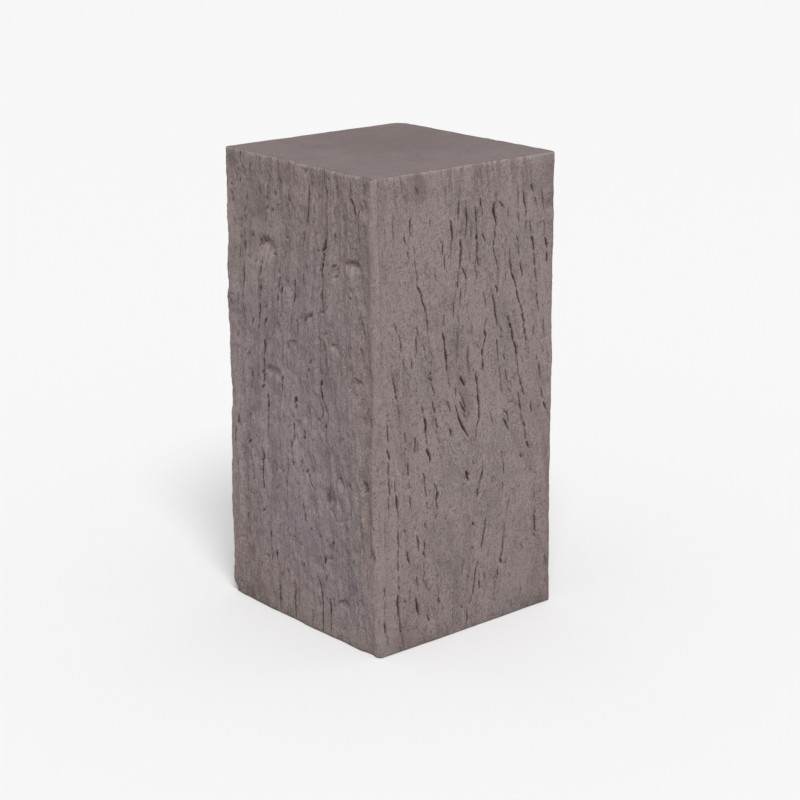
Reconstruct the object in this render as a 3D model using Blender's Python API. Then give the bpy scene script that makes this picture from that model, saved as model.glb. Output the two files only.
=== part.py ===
"""Pedestal block, cast in one piece in the form of a hewn square timber. Metres, +Z up.

The block stands on its underside, with its origin at the middle of it. The front is the -Y face.
"""

import math
import random
from collections import namedtuple

import bmesh
import bpy
from mathutils import Vector, noise

# Overall sizes, over the high spots of the hewn faces
WIDTH = 0.308
DEPTH = 0.308
HEIGHT = 0.610

# Rounding of the edge round the top and of the edge round the foot
TOP_RIM_RADIUS = 0.0025
FOOT_RIM_RADIUS = 0.0040

# Mesh rows between the rims, steps in each rim and in each rounded arris
ROWS = 36
RIM_STEPS = 2
ARRIS_STEPS = 4

# Places on a face are counted in parts of it, across from its first arris and down from the top
PARTS_ACROSS = 308
PARTS_DOWN = 610

# Low waves left by hewing: their length across and along the grain
WAVE_ACROSS = 0.075
WAVE_ALONG = 0.120

# Checks, the cracks along the grain: depth for each unit of width, and how far they stray sideways
CHECK_DEPTH_RATIO = 1.5
CHECK_STRAY = 0.0012
CHECK_STRAY_LENGTH = 0.040
CHECK_STEP = 0.028
CHECK_END_SHARE = 0.15

# Cutters start this far outside the hewn surface
CUTTER_LIFT = 0.004

# Scoops, the adze marks: the cutter's height above the face for each unit of depth
SCOOP_LIFT_RATIO = 2.0
SCOOP_SEGMENTS = 14
SCOOP_RINGS = 8

CAST_COLOUR = (0.230, 0.183, 0.176, 1.0)
CAST_ROUGHNESS = 0.92

Face = namedtuple("Face", "name normal half_out half_along columns corner_insets wave")
Swell = namedtuple("Swell", "across down half_width half_height inset")
Scoop = namedtuple("Scoop", "across down half_width half_height depth turn")
Check = namedtuple("Check", "top_across top_down foot_across foot_down width")

# The four faces in order round the block. Corner insets say how far a face stands in from the nominal
# plane at foot start, foot end, top start and top end, because a hewn timber is a little out of square.
FACES = (
    Face("front", (0, -1), DEPTH / 2, WIDTH / 2, 14, (0.0002, 0.0, 0.0044, 0.0029), 0.0009),
    Face("right", (1, 0), WIDTH / 2, DEPTH / 2, 7, (0.0, 0.0030, 0.0038, 0.0052), 0.0012),
    Face("back", (0, 1), DEPTH / 2, WIDTH / 2, 7, (0.0024, 0.0, 0.0018, 0.0033), 0.0012),
    Face("left", (-1, 0), WIDTH / 2, DEPTH / 2, 16, (0.0, 0.0057, 0.0035, 0.0001), 0.0018),
)

# Radius of the arris at the start of each face, at the foot and at the top
ARRIS_RADII = {
    "front": (0.018, 0.012),
    "right": (0.005, 0.004),
    "back": (0.018, 0.018),
    "left": (0.007, 0.005),
}

# Broad swellings (inset below zero) and worn hollows beside the arrises
SWELLS = {
    "left": (
        Swell(0, 196, 0.035, 0.013, -0.0034),
        Swell(0, 335, 0.040, 0.030, 0.0014),
        Swell(0, 470, 0.035, 0.025, -0.0012),
        Swell(0, 540, 0.035, 0.022, 0.0012),
        Swell(0, 606, 0.020, 0.0075, 0.0042),
        Swell(152, 300, 0.060, 0.090, 0.0016),
        Swell(237, 480, 0.040, 0.060, 0.0014),
    ),
    "back": (Swell(308, 606, 0.020, 0.0075, 0.0042),),
}

SCOOPS = {
    "left": (
        Scoop(91, 119, 0.019, 0.014, 0.0024, 20),
        Scoop(263, 112, 0.014, 0.008, 0.0018, -5),
        Scoop(229, 124, 0.008, 0.010, 0.0016, 10),
        Scoop(179, 188, 0.007, 0.006, 0.0014, 30),
        Scoop(97, 280, 0.017, 0.009, 0.0018, 5),
        Scoop(270, 256, 0.012, 0.008, 0.0016, -10),
        Scoop(174, 406, 0.010, 0.014, 0.0018, -25),
        Scoop(220, 428, 0.016, 0.019, 0.0028, -20),
        Scoop(280, 390, 0.006, 0.010, 0.0014, 0),
        Scoop(293, 478, 0.007, 0.012, 0.0018, 0),
        Scoop(236, 560, 0.012, 0.008, 0.0014, 0),
    ),
    "back": (
        Scoop(91, 170, 0.016, 0.014, 0.0020, 20),
        Scoop(212, 390, 0.014, 0.019, 0.0022, -20),
    ),
    "right": (
        Scoop(202, 250, 0.015, 0.013, 0.0018, -10),
        Scoop(101, 450, 0.013, 0.017, 0.0020, 25),
    ),
}

# The checks that show from a step away, on the two faces that carry the grain most strongly
CHECKS = {
    "front": (
        Check(126, 66, 129, 92, 0.0034),
        Check(139, 45, 138, 68, 0.0030),
        Check(151, 52, 153, 78, 0.0034),
        Check(142, 92, 142, 129, 0.0042),
        Check(147, 129, 152, 145, 0.0028),
        Check(168, 54, 169, 78, 0.0030),
        Check(169, 88, 171, 114, 0.0036),
        Check(170, 116, 174, 130, 0.0032),
        Check(199, 52, 203, 82, 0.0036),
        Check(199, 96, 200, 118, 0.0030),
        Check(207, 52, 216, 62, 0.0032),
        Check(249, 43, 253, 70, 0.0036),
        Check(264, 37, 269, 50, 0.0028),
        Check(266, 104, 270, 123, 0.0034),
        Check(270, 127, 274, 146, 0.0032),
        Check(289, 108, 295, 142, 0.0032),
        Check(228, 127, 237, 157, 0.0036),
        Check(235, 156, 248, 190, 0.0030),
        Check(250, 202, 255, 224, 0.0042),
        Check(255, 226, 259, 241, 0.0034),
        Check(198, 170, 207, 211, 0.0030),
        Check(229, 212, 236, 238, 0.0036),
        Check(236, 238, 243, 260, 0.0030),
        Check(205, 229, 209, 258, 0.0030),
        Check(71, 139, 78, 149, 0.0026),
        Check(79, 156, 86, 176, 0.0026),
        Check(113, 204, 118, 230, 0.0034),
        Check(118, 229, 121, 256, 0.0042),
        Check(181, 236, 182, 262, 0.0036),
        Check(168, 267, 173, 290, 0.0034),
        Check(173, 290, 176, 328, 0.0038),
        Check(143, 265, 152, 281, 0.0030),
        Check(142, 286, 153, 307, 0.0028),
        Check(137, 310, 158, 348, 0.0032),
        Check(32, 246, 37, 276, 0.0026),
        Check(92, 250, 101, 307, 0.0028),
        Check(81, 307, 84, 328, 0.0044),
        Check(85, 349, 93, 367, 0.0042),
        Check(103, 397, 102, 432, 0.0036),
        Check(245, 307, 251, 346, 0.0032),
        Check(254, 348, 267, 386, 0.0030),
        Check(22, 306, 24, 350, 0.0030),
        Check(34, 398, 37, 430, 0.0028),
        Check(36, 531, 42, 588, 0.0034),
        Check(53, 477, 58, 495, 0.0034),
        Check(67, 543, 72, 569, 0.0040),
        Check(190, 465, 180, 505, 0.0036),
        Check(221, 498, 216, 533, 0.0032),
        Check(172, 529, 169, 558, 0.0030),
        Check(278, 480, 279, 504, 0.0030),
        Check(182, 394, 180, 412, 0.0030),
        Check(175, 421, 174, 432, 0.0034),
        Check(153, 393, 158, 407, 0.0036),
        Check(86, 571, 90, 582, 0.0030),
    ),
    "left": (
        Check(35, 2, 36, 18, 0.0032),
        Check(33, 36, 32, 43, 0.0036),
        Check(91, 36, 88, 72, 0.0030),
        Check(103, 64, 104, 71, 0.0044),
        Check(178, 28, 173, 74, 0.0032),
        Check(209, 6, 214, 60, 0.0030),
        Check(214, 60, 211, 92, 0.0046),
        Check(211, 92, 205, 109, 0.0044),
        Check(206, 117, 203, 136, 0.0040),
        Check(204, 152, 202, 182, 0.0038),
        Check(266, 28, 271, 55, 0.0034),
        Check(36, 150, 37, 230, 0.0034),
        Check(77, 145, 75, 158, 0.0032),
        Check(78, 160, 72, 192, 0.0030),
        Check(72, 192, 69, 226, 0.0032),
        Check(79, 240, 75, 300, 0.0034),
        Check(119, 158, 117, 198, 0.0028),
        Check(146, 150, 143, 180, 0.0032),
        Check(205, 218, 208, 244, 0.0034),
        Check(195, 269, 199, 299, 0.0042),
        Check(83, 311, 84, 366, 0.0032),
        Check(20, 355, 20, 368, 0.0032),
        Check(74, 390, 74, 445, 0.0034),
        Check(127, 408, 126, 428, 0.0032),
        Check(203, 322, 204, 345, 0.0030),
        Check(86, 501, 87, 511, 0.0038),
        Check(101, 525, 102, 534, 0.0038),
        Check(102, 564, 106, 607, 0.0032),
        Check(134, 568, 138, 607, 0.0030),
        Check(187, 540, 196, 607, 0.0032),
        Check(209, 560, 212, 602, 0.0034),
        Check(214, 478, 215, 487, 0.0036),
    ),
}

# The two plainer faces carry checks placed by a seeded rule
PLAIN_FACES = ("right", "back")
PLAIN_CHECKS = 12
PLAIN_BANDS = 4
PLAIN_CHECK_PARTS = (28, 95)
PLAIN_CHECK_WIDTHS = (0.0028, 0.0040)
PLAIN_CHECK_LEAN = 9
PLAIN_MARGIN = 20
PLAIN_SEED = 7


def clear_scene():
    for old in list(bpy.data.objects):
        bpy.data.objects.remove(old, do_unlink=True)


def along_of(face):
    """Unit vector across the face, from its first arris to its second."""
    out_x, out_y = face.normal
    return (-out_y, out_x)


def levels():
    """Heights of the mesh rings, closer together in the two rounded rims."""
    quarter = math.pi / 2
    arc = [1 - math.cos(quarter * step / RIM_STEPS) for step in range(RIM_STEPS)]
    foot = [FOOT_RIM_RADIUS * share for share in arc]
    top = [HEIGHT - TOP_RIM_RADIUS * share for share in arc]
    run = HEIGHT - TOP_RIM_RADIUS - FOOT_RIM_RADIUS
    middle = [FOOT_RIM_RADIUS + run * row / ROWS for row in range(ROWS + 1)]
    return foot + middle + top[::-1]


def rim_inset(up):
    """How far the rounding at the foot or the top draws the section in at this height."""
    if up < FOOT_RIM_RADIUS:
        radius, short = FOOT_RIM_RADIUS, FOOT_RIM_RADIUS - up
    elif up > HEIGHT - TOP_RIM_RADIUS:
        radius, short = TOP_RIM_RADIUS, up - (HEIGHT - TOP_RIM_RADIUS)
    else:
        return 0.0
    return radius - math.sqrt(max(0.0, radius * radius - short * short))


def arris_radius(face, up):
    foot, top = ARRIS_RADII[face.name]
    return foot + (top - foot) * up / HEIGHT


def hewn_inset(face, across, up):
    """Depth of the hewn surface below the nominal plane, before the high spot is brought to it."""
    share_across = across / (2 * face.half_along)
    share_up = up / HEIGHT
    foot_start, foot_end, top_start, top_end = face.corner_insets
    foot = foot_start + (foot_end - foot_start) * share_across
    top = top_start + (top_end - top_start) * share_across
    inset = foot + (top - foot) * share_up
    for swell in SWELLS.get(face.name, ()):
        off_across = (across - 2 * face.half_along * swell.across / PARTS_ACROSS) / swell.half_width
        off_up = (up - HEIGHT * (1 - swell.down / PARTS_DOWN)) / swell.half_height
        inset += swell.inset * math.exp(-off_across * off_across - off_up * off_up)
    place = Vector((across / WAVE_ACROSS, up / WAVE_ALONG, FACES.index(face) * 10.0))
    return inset + face.wave * (noise.noise(place) + 0.5 * noise.noise(place * 2.1))


def flat_columns(face, up):
    """Places across a face of its mesh columns, between the two rounded arrises."""
    following = FACES[(FACES.index(face) + 1) % len(FACES)]
    start = arris_radius(face, up)
    end = 2 * face.half_along - arris_radius(following, up)
    return [start + (end - start) * column / face.columns for column in range(face.columns + 1)]


def find_high_spots():
    """The least inset of each face, so that the high spots lie on the nominal planes."""
    run = [up for up in levels() if rim_inset(up) == 0.0]
    return {
        face.name: min(hewn_inset(face, across, up) for up in run for across in flat_columns(face, up))
        for face in FACES
    }


def hewn_point(x, y, up, high_spots):
    """Brings a point of the nominal rounded square in to the hewn surface."""
    moved = [x, y]
    for face in FACES:
        out = x * face.normal[0] + y * face.normal[1]
        if out <= 0:
            continue
        along = along_of(face)
        across = x * along[0] + y * along[1] + face.half_along
        inset = hewn_inset(face, across, up) - high_spots[face.name] + rim_inset(up)
        axis = 0 if face.normal[0] else 1
        moved[axis] *= 1 - inset / face.half_out
    return Vector((moved[0], moved[1], up))


def nominal_ring(up):
    """The rounded square at one height, anticlockwise from the front face's first arris."""
    points = []
    for index, face in enumerate(FACES):
        along = along_of(face)
        radius = arris_radius(FACES[(index + 1) % len(FACES)], up)
        for across in flat_columns(face, up):
            place = across - face.half_along
            points.append(
                (
                    face.normal[0] * face.half_out + along[0] * place,
                    face.normal[1] * face.half_out + along[1] * place,
                )
            )
        for step in range(1, ARRIS_STEPS):
            turn = math.pi / 2 * step / ARRIS_STEPS
            out = face.half_out - radius * (1 - math.cos(turn))
            place = face.half_along - radius * (1 - math.sin(turn))
            points.append(
                (
                    face.normal[0] * out + along[0] * place,
                    face.normal[1] * out + along[1] * place,
                )
            )
    return points


def make_block(high_spots):
    shape = bmesh.new()
    rings = [
        [shape.verts.new(hewn_point(x, y, up, high_spots)) for x, y in nominal_ring(up)]
        for up in levels()
    ]
    for lower, upper in zip(rings, rings[1:]):
        for here in range(len(lower)):
            there = (here + 1) % len(lower)
            shape.faces.new((lower[here], lower[there], upper[there], upper[here]))
    shape.faces.new(rings[0][::-1])
    shape.faces.new(rings[-1])
    return object_from(shape, "timber_block")


def object_from(shape, name):
    mesh = bpy.data.meshes.new(name)
    shape.to_mesh(mesh)
    shape.free()
    made = bpy.data.objects.new(name, mesh)
    bpy.context.scene.collection.objects.link(made)
    return made


def surface_point(face, parts_across, parts_down, high_spots):
    """A place on a hewn face, counted in parts of it."""
    along = along_of(face)
    place = (2 * parts_across / PARTS_ACROSS - 1) * face.half_along
    x = face.normal[0] * face.half_out + along[0] * place
    y = face.normal[1] * face.half_out + along[1] * place
    return hewn_point(x, y, HEIGHT * (1 - parts_down / PARTS_DOWN), high_spots)


def add_check(shape, face, check, seed, high_spots):
    """One tapering, straying wedge that cuts a check along the grain."""
    out = Vector((*face.normal, 0))
    side = Vector((*along_of(face), 0))
    start = surface_point(face, check.top_across, check.top_down, high_spots)
    end = surface_point(face, check.foot_across, check.foot_down, high_spots)
    length = (end - start).length
    steps = max(3, round(length / CHECK_STEP))
    sections = []
    for step in range(steps + 1):
        share = step / steps
        taper = max(CHECK_END_SHARE, math.sqrt(4 * share * (1 - share)))
        width = check.width * taper
        depth = width * CHECK_DEPTH_RATIO
        across = check.top_across + (check.foot_across - check.top_across) * share
        down = check.top_down + (check.foot_down - check.top_down) * share
        stray = CHECK_STRAY * noise.noise(Vector((length * share / CHECK_STRAY_LENGTH, seed, 0.5)))
        middle = surface_point(face, across, down, high_spots) + side * stray
        mouth = width * (depth + CUTTER_LIFT) / depth
        corners = (
            middle + out * CUTTER_LIFT - side * mouth / 2,
            middle - out * depth,
            middle + out * CUTTER_LIFT + side * mouth / 2,
        )
        sections.append([shape.verts.new(corner) for corner in corners])
    for upper, lower in zip(sections, sections[1:]):
        for here in range(3):
            there = (here + 1) % 3
            shape.faces.new((upper[here], upper[there], lower[there], lower[here]))
    shape.faces.new(sections[0][::-1])
    shape.faces.new(sections[-1])


def add_scoop(shape, face, scoop, high_spots):
    """One flattened ball, set so that its lowest part cuts a shallow adze mark."""
    out = Vector((*face.normal, 0))
    side = Vector((*along_of(face), 0))
    lift = scoop.depth * SCOOP_LIFT_RATIO
    semi_depth = scoop.depth + lift
    outline_share = math.sqrt(1 - (lift / semi_depth) ** 2)
    semi_width = scoop.half_width / outline_share
    semi_height = scoop.half_height / outline_share
    turn = math.radians(scoop.turn)
    centre = surface_point(face, scoop.across, scoop.down, high_spots) + out * lift
    ball = bmesh.ops.create_uvsphere(
        shape, u_segments=SCOOP_SEGMENTS, v_segments=SCOOP_RINGS, radius=1.0
    )
    for vert in ball["verts"]:
        wide = vert.co.x * semi_width
        tall = vert.co.y * semi_height
        across = wide * math.cos(turn) - tall * math.sin(turn)
        up = wide * math.sin(turn) + tall * math.cos(turn)
        vert.co = centre + side * across + Vector((0, 0, up)) + out * (vert.co.z * semi_depth)


def plain_checks():
    """Checks for the plainer faces: one to each column of a face, spread over its bands from top to foot."""
    draw = random.Random(PLAIN_SEED)
    span = (PARTS_ACROSS - 2 * PLAIN_MARGIN) / PLAIN_CHECKS
    band = (PARTS_DOWN - 2 * PLAIN_MARGIN) / PLAIN_BANDS
    found = {}
    for name in PLAIN_FACES:
        bands = [column % PLAIN_BANDS for column in range(PLAIN_CHECKS)]
        draw.shuffle(bands)
        rows = []
        for column in range(PLAIN_CHECKS):
            across = PLAIN_MARGIN + span * (column + draw.uniform(0.3, 0.7))
            length = draw.uniform(*PLAIN_CHECK_PARTS)
            down = PLAIN_MARGIN + band * bands[column] + draw.uniform(0, band - length)
            lean = draw.uniform(-PLAIN_CHECK_LEAN, PLAIN_CHECK_LEAN) * length / PLAIN_CHECK_PARTS[1]
            width = draw.uniform(*PLAIN_CHECK_WIDTHS)
            rows.append(Check(across, down, across + lean, down + length, width))
        found[name] = rows
    return found


def finish_cutter(shape, name):
    bmesh.ops.recalc_face_normals(shape, faces=shape.faces)
    cutter = object_from(shape, name)
    cutter.hide_render = True
    cutter.display_type = "WIRE"
    return cutter


def make_check_cutter(high_spots):
    shape = bmesh.new()
    rows = {**CHECKS, **plain_checks()}
    for face in FACES:
        for number, check in enumerate(rows[face.name]):
            add_check(shape, face, check, FACES.index(face) * 100 + number * 1.7, high_spots)
    return finish_cutter(shape, "check_cutter")


def make_scoop_cutter(high_spots):
    shape = bmesh.new()
    for face in FACES:
        for scoop in SCOOPS.get(face.name, ()):
            add_scoop(shape, face, scoop, high_spots)
    return finish_cutter(shape, "scoop_cutter")


def cut(block, cutter, name):
    step = block.modifiers.new(name, "BOOLEAN")
    step.operation = "DIFFERENCE"
    step.object = cutter
    step.solver = "EXACT"
    step.use_self = True


def cast_material():
    material = bpy.data.materials.new("weathered_cast")
    material.use_nodes = True
    shader = material.node_tree.nodes["Principled BSDF"]
    shader.inputs["Base Color"].default_value = CAST_COLOUR
    shader.inputs["Roughness"].default_value = CAST_ROUGHNESS
    shader.inputs["Metallic"].default_value = 0.0
    return material


def main():
    clear_scene()
    high_spots = find_high_spots()
    block = make_block(high_spots)
    block.data.materials.append(cast_material())
    block.data.shade_smooth()
    block.data.set_sharp_from_angle(angle=math.radians(40))
    cut(block, make_scoop_cutter(high_spots), "adze_marks")
    cut(block, make_check_cutter(high_spots), "checks")


main()
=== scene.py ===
"""Square pedestal block, cast in one piece in the form of a weathered hewn timber, and its stage."""

import math
import random
from collections import namedtuple

import bpy
import numpy as np
from bpy.props import FloatProperty, FloatVectorProperty, IntProperty, PointerProperty
from mathutils import Matrix, Vector, noise


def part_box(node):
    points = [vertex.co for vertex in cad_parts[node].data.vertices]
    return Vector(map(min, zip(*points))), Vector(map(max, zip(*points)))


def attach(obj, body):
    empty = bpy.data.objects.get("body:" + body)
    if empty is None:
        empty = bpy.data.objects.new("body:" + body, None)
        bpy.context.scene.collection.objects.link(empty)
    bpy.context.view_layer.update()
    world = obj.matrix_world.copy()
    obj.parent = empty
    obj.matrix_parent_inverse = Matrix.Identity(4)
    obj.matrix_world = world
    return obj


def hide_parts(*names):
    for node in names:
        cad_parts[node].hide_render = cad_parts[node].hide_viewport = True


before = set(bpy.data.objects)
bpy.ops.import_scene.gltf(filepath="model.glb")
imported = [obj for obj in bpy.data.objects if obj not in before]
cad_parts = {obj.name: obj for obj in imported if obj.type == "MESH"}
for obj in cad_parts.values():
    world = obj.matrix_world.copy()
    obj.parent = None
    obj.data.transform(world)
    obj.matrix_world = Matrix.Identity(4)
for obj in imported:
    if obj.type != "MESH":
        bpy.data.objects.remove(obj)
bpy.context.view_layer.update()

bl_info = {
    "name": "Wood-grain pedestal",
    "version": (1, 0, 0),
    "blender": (4, 5, 0),
    "location": "3D View > Sidebar > Pedestal",
    "description": "A square pedestal block cast in the form of a weathered hewn timber",
    "category": "Object",
}

LOW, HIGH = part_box("timber_block")
MM = 0.001

# Hewn faces. Corner insets, as in the solid, say how far a face stands in from the nominal plane at foot
# start, foot end, top start and top end. Wave is the height of the low waves, hewn is how strongly the
# relief shows, and columns is the count of mesh columns.
Face = namedtuple("Face", "name normal corner_insets wave hewn columns")
FACES = (
    Face("front", (0, -1), (0.0002, 0.0, 0.0044, 0.0029), 0.0009, 0.38, 330),
    Face("right", (1, 0), (0.0, 0.0030, 0.0038, 0.0052), 0.0012, 0.5, 150),
    Face("back", (0, 1), (0.0024, 0.0, 0.0018, 0.0033), 0.0012, 0.5, 150),
    Face("left", (-1, 0), (0.0, 0.0057, 0.0035, 0.0001), 0.0018, 1.0, 330),
)

# Radius of the arris at the start of each face, at the foot and at the top. Right at the floor none is
# rounder than FOOT_ARRIS, and about FOOT_ARRIS_HEIGHT above it they have their own radius again.
ARRIS_RADII = {
    "front": (0.018, 0.012),
    "right": (0.005, 0.004),
    "back": (0.018, 0.018),
    "left": (0.007, 0.005),
}
ARRIS_STEPS = 16
RIM_STEPS = 4
FOOT_ARRIS = 0.008
FOOT_ARRIS_HEIGHT = 0.035

# Length of the low waves across and along the grain, how much closer and lower a second set is, and the
# step in the noise from one face to the next
WAVE_ACROSS = 0.075
WAVE_ALONG = 0.120
WAVE_CLOSER = 2.1
WAVE_LOWER = 0.5
WAVE_LAYER = 10.0
INSET_GRID = 0.004

# Broad swellings, inset below zero, and worn hollows. Places on a face are in millimetres, across from
# its first arris and down from the top. Here half sizes and insets are in metres.
Swell = namedtuple("Swell", "across down half_width half_height inset")
SWELLS = {
    "left": (
        Swell(0, 196, 0.035, 0.013, -0.0034),
        Swell(289, 300, 0.0105, 0.700, 0.0032),
        Swell(0, 335, 0.040, 0.030, 0.0014),
        Swell(0, 470, 0.035, 0.025, -0.0012),
        Swell(0, 540, 0.035, 0.022, 0.0012),
        Swell(0, 606, 0.020, 0.0075, 0.0042),
        Swell(152, 300, 0.060, 0.090, 0.0016),
        Swell(237, 480, 0.040, 0.060, 0.0014),
    ),
    "back": (Swell(308, 606, 0.020, 0.0075, 0.0042),),
}

# Dents left by the adze: a steep upper edge, then a slope that runs out below. Sizes are in millimetres
# and turns in degrees.
Dent = namedtuple("Dent", "across down half_width half_height depth turn")
DENTS = {
    "left": (
        Dent(90, 118, 19, 15, 2.6, 18),
        Dent(263, 114, 14, 9, 2.4, 0),
        Dent(229, 126, 7, 10, 1.8, 10),
        Dent(179, 192, 8, 6, 1.4, -35),
        Dent(98, 281, 17, 10, 2.0, 4),
        Dent(270, 258, 12, 8, 1.8, -8),
        Dent(226, 224, 10, 8, 1.5, 12),
        Dent(220, 428, 17, 21, 2.3, -12),
        Dent(176, 404, 9, 16, 1.2, -20),
        Dent(280, 392, 6, 11, 1.6, 0),
        Dent(293, 480, 7, 14, 1.6, 0),
        Dent(141, 236, 11, 7, 1.2, 4),
        Dent(112, 411, 12, 8, 1.0, 0),
        Dent(233, 397, 9, 8, 1.2, 0),
        Dent(63, 511, 9, 8, 1.2, 0),
        Dent(236, 561, 12, 8, 1.4, 5),
        Dent(271, 551, 11, 9, 1.3, -15),
        Dent(143, 502, 8, 8, 1.1, 0),
        Dent(262, 486, 9, 10, 1.2, -60),
        Dent(211, 492, 6, 9, 1.1, 0),
        Dent(118, 32, 18, 8, 0.9, 0),
    ),
    "front": (
        Dent(180, 226, 4, 12, 0.9, 0),
        Dent(128, 222, 8, 8, 0.6, 0),
        Dent(298, 74, 7, 16, 1.4, 0),
        Dent(155, 402, 7, 9, 1.2, -30),
    ),
    "back": (Dent(91, 170, 16, 14, 2.0, 20), Dent(212, 390, 14, 19, 2.2, -20)),
    "right": (Dent(202, 250, 15, 13, 1.8, -10), Dent(101, 450, 13, 17, 2.0, 25)),
}

# Share of a dent's height that its steep edge takes, a factor on the depths above, and how its slope
# and its two ends run out
DENT_EDGE = 0.40
DENT_DEEPER = 1.6
DENT_SLOPE = 1.3
DENT_ENDS = 0.6

# Stains and blooms of the cast skin, and painted shade, in millimetres: brown where the amount is above 0,
# else lilac grey
Tinge = namedtuple("Tinge", "across down half_width half_height amount")
STAINS_AND_SHADE = {
    "front": (
        Tinge(298, 75, 6, 40, 0.9),
        Tinge(303, 590, 14, 60, 0.7),
        Tinge(180, 350, 40, 60, -0.25),
        Tinge(150, 606, 200, 13, 0.8),
    ),
    "left": (
        Tinge(40, 600, 80, 60, 1.0),
        Tinge(180, 606, 150, 14, 0.8),
        Tinge(200, 430, 110, 130, -1.0),
        Tinge(60, 330, 60, 120, -0.7),
        Tinge(110, 500, 60, 50, -0.6),
        Tinge(250, 550, 60, 50, -0.7),
        Tinge(150, 200, 130, 120, -0.4),
        Tinge(60, 70, 50, 14, 0.5),
        # Painted shade: a brown band in the furrow beside the front arris
        Tinge(287, 300, 14, 420, 1.1),
    ),
    "right": (Tinge(150, 600, 150, 12, 0.5), Tinge(120, 330, 80, 120, -0.5)),
    "back": (Tinge(150, 600, 150, 12, 0.5), Tinge(190, 300, 90, 130, -0.5)),
}

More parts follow.
